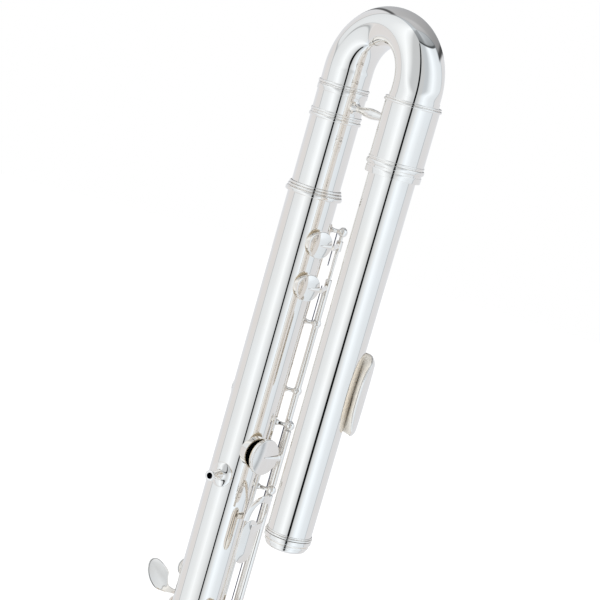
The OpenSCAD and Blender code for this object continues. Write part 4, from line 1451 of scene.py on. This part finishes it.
class TentPanels:
    """Emission of the reflection tent by direction round the flute; +X of the tent points at the camera."""

    def __init__(self) -> None:
        """Starts the material with the direction's parts and the turn away from the camera."""
        self.material = bpy.data.materials.new("tent_panels")
        self.material.use_nodes = True
        self.tree = self.material.node_tree
        self.tree.nodes.clear()
        coords = self.tree.nodes.new("ShaderNodeTexCoord")
        unit = self.tree.nodes.new("ShaderNodeVectorMath")
        unit.operation = "NORMALIZE"
        self.tree.links.new(coords.outputs["Object"], unit.inputs[0])
        self.way = unit.outputs[0]
        parts = self.tree.nodes.new("ShaderNodeSeparateXYZ")
        self.tree.links.new(self.way, parts.inputs[0])
        self.x, self.y, self.z = parts.outputs
        around = self.maths("ARCTAN2", self.maths("ABSOLUTE", self.y), self.x)
        self.turn = self.maths("DIVIDE", around, math.pi)

    def maths(self, operation: str, *values: Socket | float) -> Socket:
        """Adds a maths node.

        Args:
            operation: The node's operation name.
            values: Its inputs, linked or plain.

        Returns:
            The result.
        """
        node = self.tree.nodes.new("ShaderNodeMath")
        node.operation = operation
        for place, value in zip(node.inputs, values):
            if isinstance(value, Socket):
                self.tree.links.new(value, place)
            else:
                place.default_value = value
        return node.outputs[0]

    def bands(self, fac: Socket, stops: Sequence[Pair], tint: Colour = WHITE) -> Socket:
        """Adds a ramp of grey levels.

        Args:
            fac: The value that picks the level.
            stops: Places from 0 to 1 with their levels.
            tint: Colour that multiplies every level.

        Returns:
            The colour.
        """
        ramp = self.tree.nodes.new("ShaderNodeValToRGB")
        self.tree.links.new(fac, ramp.inputs[0])
        band = ramp.color_ramp.elements
        while len(band) < len(stops):
            band.new(0.5)
        for stop, (at, level) in zip(band, stops):
            stop.position = at
            stop.color = (*(level * t for t in tint), 1)
        return ramp.outputs[0]

    def smooth(self, fac: Socket, low: float, high: float) -> Socket:
        """Adds a soft step.

        Args:
            fac: The value that steps.
            low: Where the result is still 0.
            high: Where it reaches 1.

        Returns:
            The step's height.
        """
        node = self.tree.nodes.new("ShaderNodeMapRange")
        node.interpolation_type = "SMOOTHSTEP"
        node.inputs["From Min"].default_value, node.inputs["From Max"].default_value = low, high
        self.tree.links.new(fac, node.inputs["Value"])
        return node.outputs[0]

    def dot(self, fixed: Sequence[float]) -> Socket:
        """Adds a dot product of the tent's direction with a fixed one.

        Args:
            fixed: The fixed direction, in the tent's frame.

        Returns:
            The cosine between them.
        """
        node = self.tree.nodes.new("ShaderNodeVectorMath")
        node.operation = "DOT_PRODUCT"
        node.inputs[1].default_value = fixed
        self.tree.links.new(self.way, node.inputs[0])
        return node.outputs["Value"]

    def mix(self, share: Socket | float, low: Socket | Colour, high: Socket | Colour,
            kind: str = "MIX") -> Socket:
        """Mixes two colours.

        Args:
            share: Share of the second colour.
            low: The first colour.
            high: The second colour.
            kind: The node's blend type.

        Returns:
            The colour.
        """
        node = self.tree.nodes.new("ShaderNodeMix")
        node.data_type, node.blend_type = "RGBA", kind
        for place, value in ((node.inputs[0], share), (node.inputs[6], low), (node.inputs[7], high)):
            if isinstance(value, Socket):
                self.tree.links.new(value, place)
            elif isinstance(value, float):
                place.default_value = value
            else:
                place.default_value = (*value, 1.0)
        return node.outputs[2]

    def times(self, one: Socket, other: Socket) -> Socket:
        """Product of two colours."""
        return self.mix(1.0, one, other, "MULTIPLY")

    def panels(self) -> Socket:
        """Cool panels in front and dimmer, warmer ones behind, with edges further back above eye level."""
        rise = self.smooth(self.z, 0.0, 0.2)
        panel = self.maths("SUBTRACT", self.turn, self.maths("MULTIPLY", rise, 0.17))
        front = self.bands(panel, [(0.0, 0.60), (0.036, 0.62), (0.11, 0.86), (0.19, 1.05), (0.33, 0.86),
                                   (0.49, 0.80), (0.505, 0.42), (0.525, 1.0), (1.0, 1.0)],
                           (0.975, 1.04, 1.105))
        dim = self.bands(panel, [(0.0, 1.0), (0.51, 1.0), (0.53, 0.76), (1.0, 0.80)])
        back = self.mix(self.smooth(panel, 0.505, 0.53), WHITE, (1.015, 0.955, 0.925))
        return self.times(self.times(front, dim), back)

    def slit(self) -> Socket:
        """Black slit at the camera's direction, wider low down and left out at the poles."""
        slope = self.maths("ADD", self.maths("MULTIPLY", self.z, 1.8), 1.2)
        taper = self.maths("MINIMUM", self.maths("MAXIMUM", slope, 0.86), 1.2)
        edge = self.maths("MULTIPLY", self.turn, taper)
        dark = self.bands(edge, [(0.0, 0.004), (0.021, 0.006), (0.028, 1.0), (1.0, 1.0)])
        over = self.smooth(self.maths("ABSOLUTE", self.z), 0.91, 0.93)
        return self.mix(over, dark, WHITE)

    def ceiling(self) -> Socket:
        """Dark ceiling behind the flute, with a black rim and a straight near edge."""
        cool = (0.97, 1.0, 1.03)
        near = self.dot((-0.341, -0.109, 0.932))
        cap = self.bands(near, [(0.0, 1.0), (0.735, 1.0), (0.745, 0.1), (0.765, 0.12), (0.78, 0.40),
                                (0.87, 0.55), (1.0, 0.74)], cool)
        lean = self.maths("ADD", self.maths("DIVIDE", self.maths("ARCTAN2", self.y, self.z), math.tau), 0.5)
        wall = self.bands(lean, [(0.0, 1.0), (0.405, 1.0), (0.412, 0.12), (0.425, 0.15), (0.432, 0.66),
                                 (0.55, 0.52), (0.62, 0.38), (0.63, 0.1), (0.642, 0.1), (0.65, 1.0),
                                 (1.0, 1.0)], cool)
        behind = self.smooth(self.maths("MULTIPLY", self.x, -1.0), 0.25, 0.4)
        near = self.smooth(self.dot((-0.591, 0.806, -0.024)), -0.25, -0.235)
        return self.mix(near, WHITE, self.mix(behind, cap, wall))

    def build(self) -> Material:
        """Joins the panels, the slit and the ceiling into one emission."""
        glow = self.tree.nodes.new("ShaderNodeEmission")
        out = self.tree.nodes.new("ShaderNodeOutputMaterial")
        colour = self.times(self.times(self.panels(), self.slit()), self.ceiling())
        self.tree.links.new(colour, glow.inputs[0])
        self.tree.links.new(glow.outputs[0], out.inputs[0])
        return self.material


@dataclass(frozen=True)
class SoftLamp:
    """Large soft lamp that stands round the flute and points at its middle."""

    name: str
    angle: float
    height: float
    power: float
    distance: float = 2.0
    size: Pair = (0.9, 1.8)
    aim: float = 0.6

    def build(self) -> None:
        """Makes the lamp, which reflections don't see."""
        data = bpy.data.lights.new(self.name, "AREA")
        data.shape = "RECTANGLE"
        data.size, data.size_y = self.size
        data.energy = self.power
        lamp = bpy.data.objects.new(self.name, data)
        spot = LAYOUT.ring_dir(self.angle) * self.distance + Vector((0, 0, self.height))
        lamp.location = spot
        lamp.rotation_mode = "QUATERNION"
        lamp.rotation_quaternion = (spot - Vector((0, 0, self.aim))).to_track_quat("Z", "Y")
        lamp.visible_glossy = False
        bpy.context.scene.collection.objects.link(lamp)


@dataclass
class Studio:
    """White room, soft light and the camera of the photograph."""

    camera_place: tuple[float, float, float] = (-0.80288895, -1.04510672, 0.93982321)
    camera_right: tuple[float, float, float] = (0.78291288, -0.55975281, 0.27152202)
    camera_up: tuple[float, float, float] = (-0.12822222, 0.28188766, 0.9508409)
    lens: float = 119.874
    diffuse_level: float = 0.75
    tent_r: float = 2.4
    tent_z: float = 0.7
    view_a: float = 232.0
    floor_r: float = 6.0
    floor_z: float = -0.002
    floor_lift: float = 0.34

    def build(self) -> None:
        """Makes the camera, world, lamps, floor and reflection tent."""
        self.camera()
        self.world()
        self.tent()
        self.floor()
        self.lamps()

    def camera(self) -> None:
        """Places the camera."""
        data = bpy.data.cameras.new("camera")
        data.lens = self.lens
        data.clip_start, data.clip_end = 0.05, 50.0
        cam = bpy.data.objects.new("camera", data)
        bpy.context.scene.collection.objects.link(cam)
        right, up = Vector(self.camera_right), Vector(self.camera_up)
        back = right.cross(up)
        turn = Matrix((right, up, back)).transposed().to_4x4()
        cam.matrix_world = Matrix.Translation(self.camera_place) @ turn
        bpy.context.scene.camera = cam

    def world(self) -> None:
        """White world for the camera, and an even dim white for diffuse light."""
        world = bpy.data.worlds.new("studio_world")
        bpy.context.scene.world = world
        world.use_nodes = True
        tree = world.node_tree
        tree.nodes.clear()
        out = tree.nodes.new("ShaderNodeOutputWorld")
        path = tree.nodes.new("ShaderNodeLightPath")
        seen = path.outputs["Is Camera Ray"]
        for kind in ("Is Glossy Ray", "Is Transmission Ray"):
            either = tree.nodes.new("ShaderNodeMath")
            either.operation = "MAXIMUM"
            tree.links.new(seen, either.inputs[0])
            tree.links.new(path.outputs[kind], either.inputs[1])
            seen = either.outputs[0]
        mix = tree.nodes.new("ShaderNodeMixShader")
        tree.links.new(seen, mix.inputs[0])
        for place, strength in ((mix.inputs[1], self.diffuse_level), (mix.inputs[2], 1.0)):
            plain = tree.nodes.new("ShaderNodeBackground")
            plain.inputs[0].default_value = (1, 1, 1, 1)
            plain.inputs[1].default_value = strength
            tree.links.new(plain.outputs[0], place)
        tree.links.new(mix.outputs[0], out.inputs[0])

    def tent(self) -> None:
        """Round tent that only reflections see: white panels, soft greys and a dark slit at the camera."""
        work = bmesh.new()
        bmesh.ops.create_uvsphere(work, u_segments=96, v_segments=48, radius=self.tent_r)
        bmesh.ops.reverse_faces(work, faces=work.faces)
        mesh = bpy.data.meshes.new("light_tent")
        work.to_mesh(mesh)
        work.free()
        tent = bpy.data.objects.new("light_tent", mesh)
        swing = Matrix.Rotation(math.radians(self.view_a), 4, "Z")
        tent.matrix_world = Matrix.Translation((0, 0, self.tent_z)) @ swing
        bpy.context.scene.collection.objects.link(tent)
        mesh.materials.append(TentPanels().build())
        tent.visible_camera = tent.visible_diffuse = tent.visible_shadow = False
        tent.visible_transmission = tent.visible_volume_scatter = False

    def floor(self) -> None:
        """Pale floor under the foot, white to the camera."""
        work = bmesh.new()
        bmesh.ops.create_circle(work, cap_ends=True, segments=96, radius=self.floor_r)
        mesh = bpy.data.meshes.new("floor")
        work.to_mesh(mesh)
        work.free()
        floor = bpy.data.objects.new("floor", mesh)
        mesh.transform(Matrix.Translation((0, 0, self.floor_z)))
        bpy.context.scene.collection.objects.link(floor)
        material = bpy.data.materials.new("floor_white")
        material.use_nodes = True
        tree = material.node_tree
        shader, out = tree.nodes["Principled BSDF"], tree.nodes["Material Output"]
        shader.inputs["Base Color"].default_value = (0.97, 0.97, 0.97, 1)
        shader.inputs["Roughness"].default_value = 0.9
        path, glow = tree.nodes.new("ShaderNodeLightPath"), tree.nodes.new("ShaderNodeEmission")
        both = tree.nodes.new("ShaderNodeAddShader")
        white = tree.nodes.new("ShaderNodeMath")
        white.operation = "MULTIPLY"
        white.inputs[1].default_value = self.floor_lift
        tree.links.new(path.outputs["Is Camera Ray"], white.inputs[0])
        tree.links.new(white.outputs[0], glow.inputs[1])
        tree.links.new(shader.outputs[0], both.inputs[0])
        tree.links.new(glow.outputs[0], both.inputs[1])
        tree.links.new(both.outputs[0], out.inputs[0])
        mesh.materials.append(material)
        floor.visible_glossy = False

    def lamps(self) -> None:
        """Two large soft lamps, left and right of the camera."""
        SoftLamp("lamp_left", self.view_a - 50, 1.6, 16.0).build()
        SoftLamp("lamp_right", self.view_a + 50, 1.3, 13.0).build()


def main() -> None:
    """Builds the dressed flute and its studio."""
    logging.basicConfig(level=logging.INFO, format="%(name)s: %(message)s")
    bpy.context.scene.view_settings.view_transform = "Standard"
    Studio().build()
    finishes = Finishes()
    finishes.dress_nodes()
    keys = (*body_keys(), *trill_and_back_keys(), *foot_keys())
    for part in (Crook(), *ring_stacks(), Crown(), LipPlate(), RestSocket(), *keys):
        piece = part.build(finishes)
        log.info("%s: %d faces", piece.name, len(piece.data.polygons))


if __name__ == "__main__":
    main()
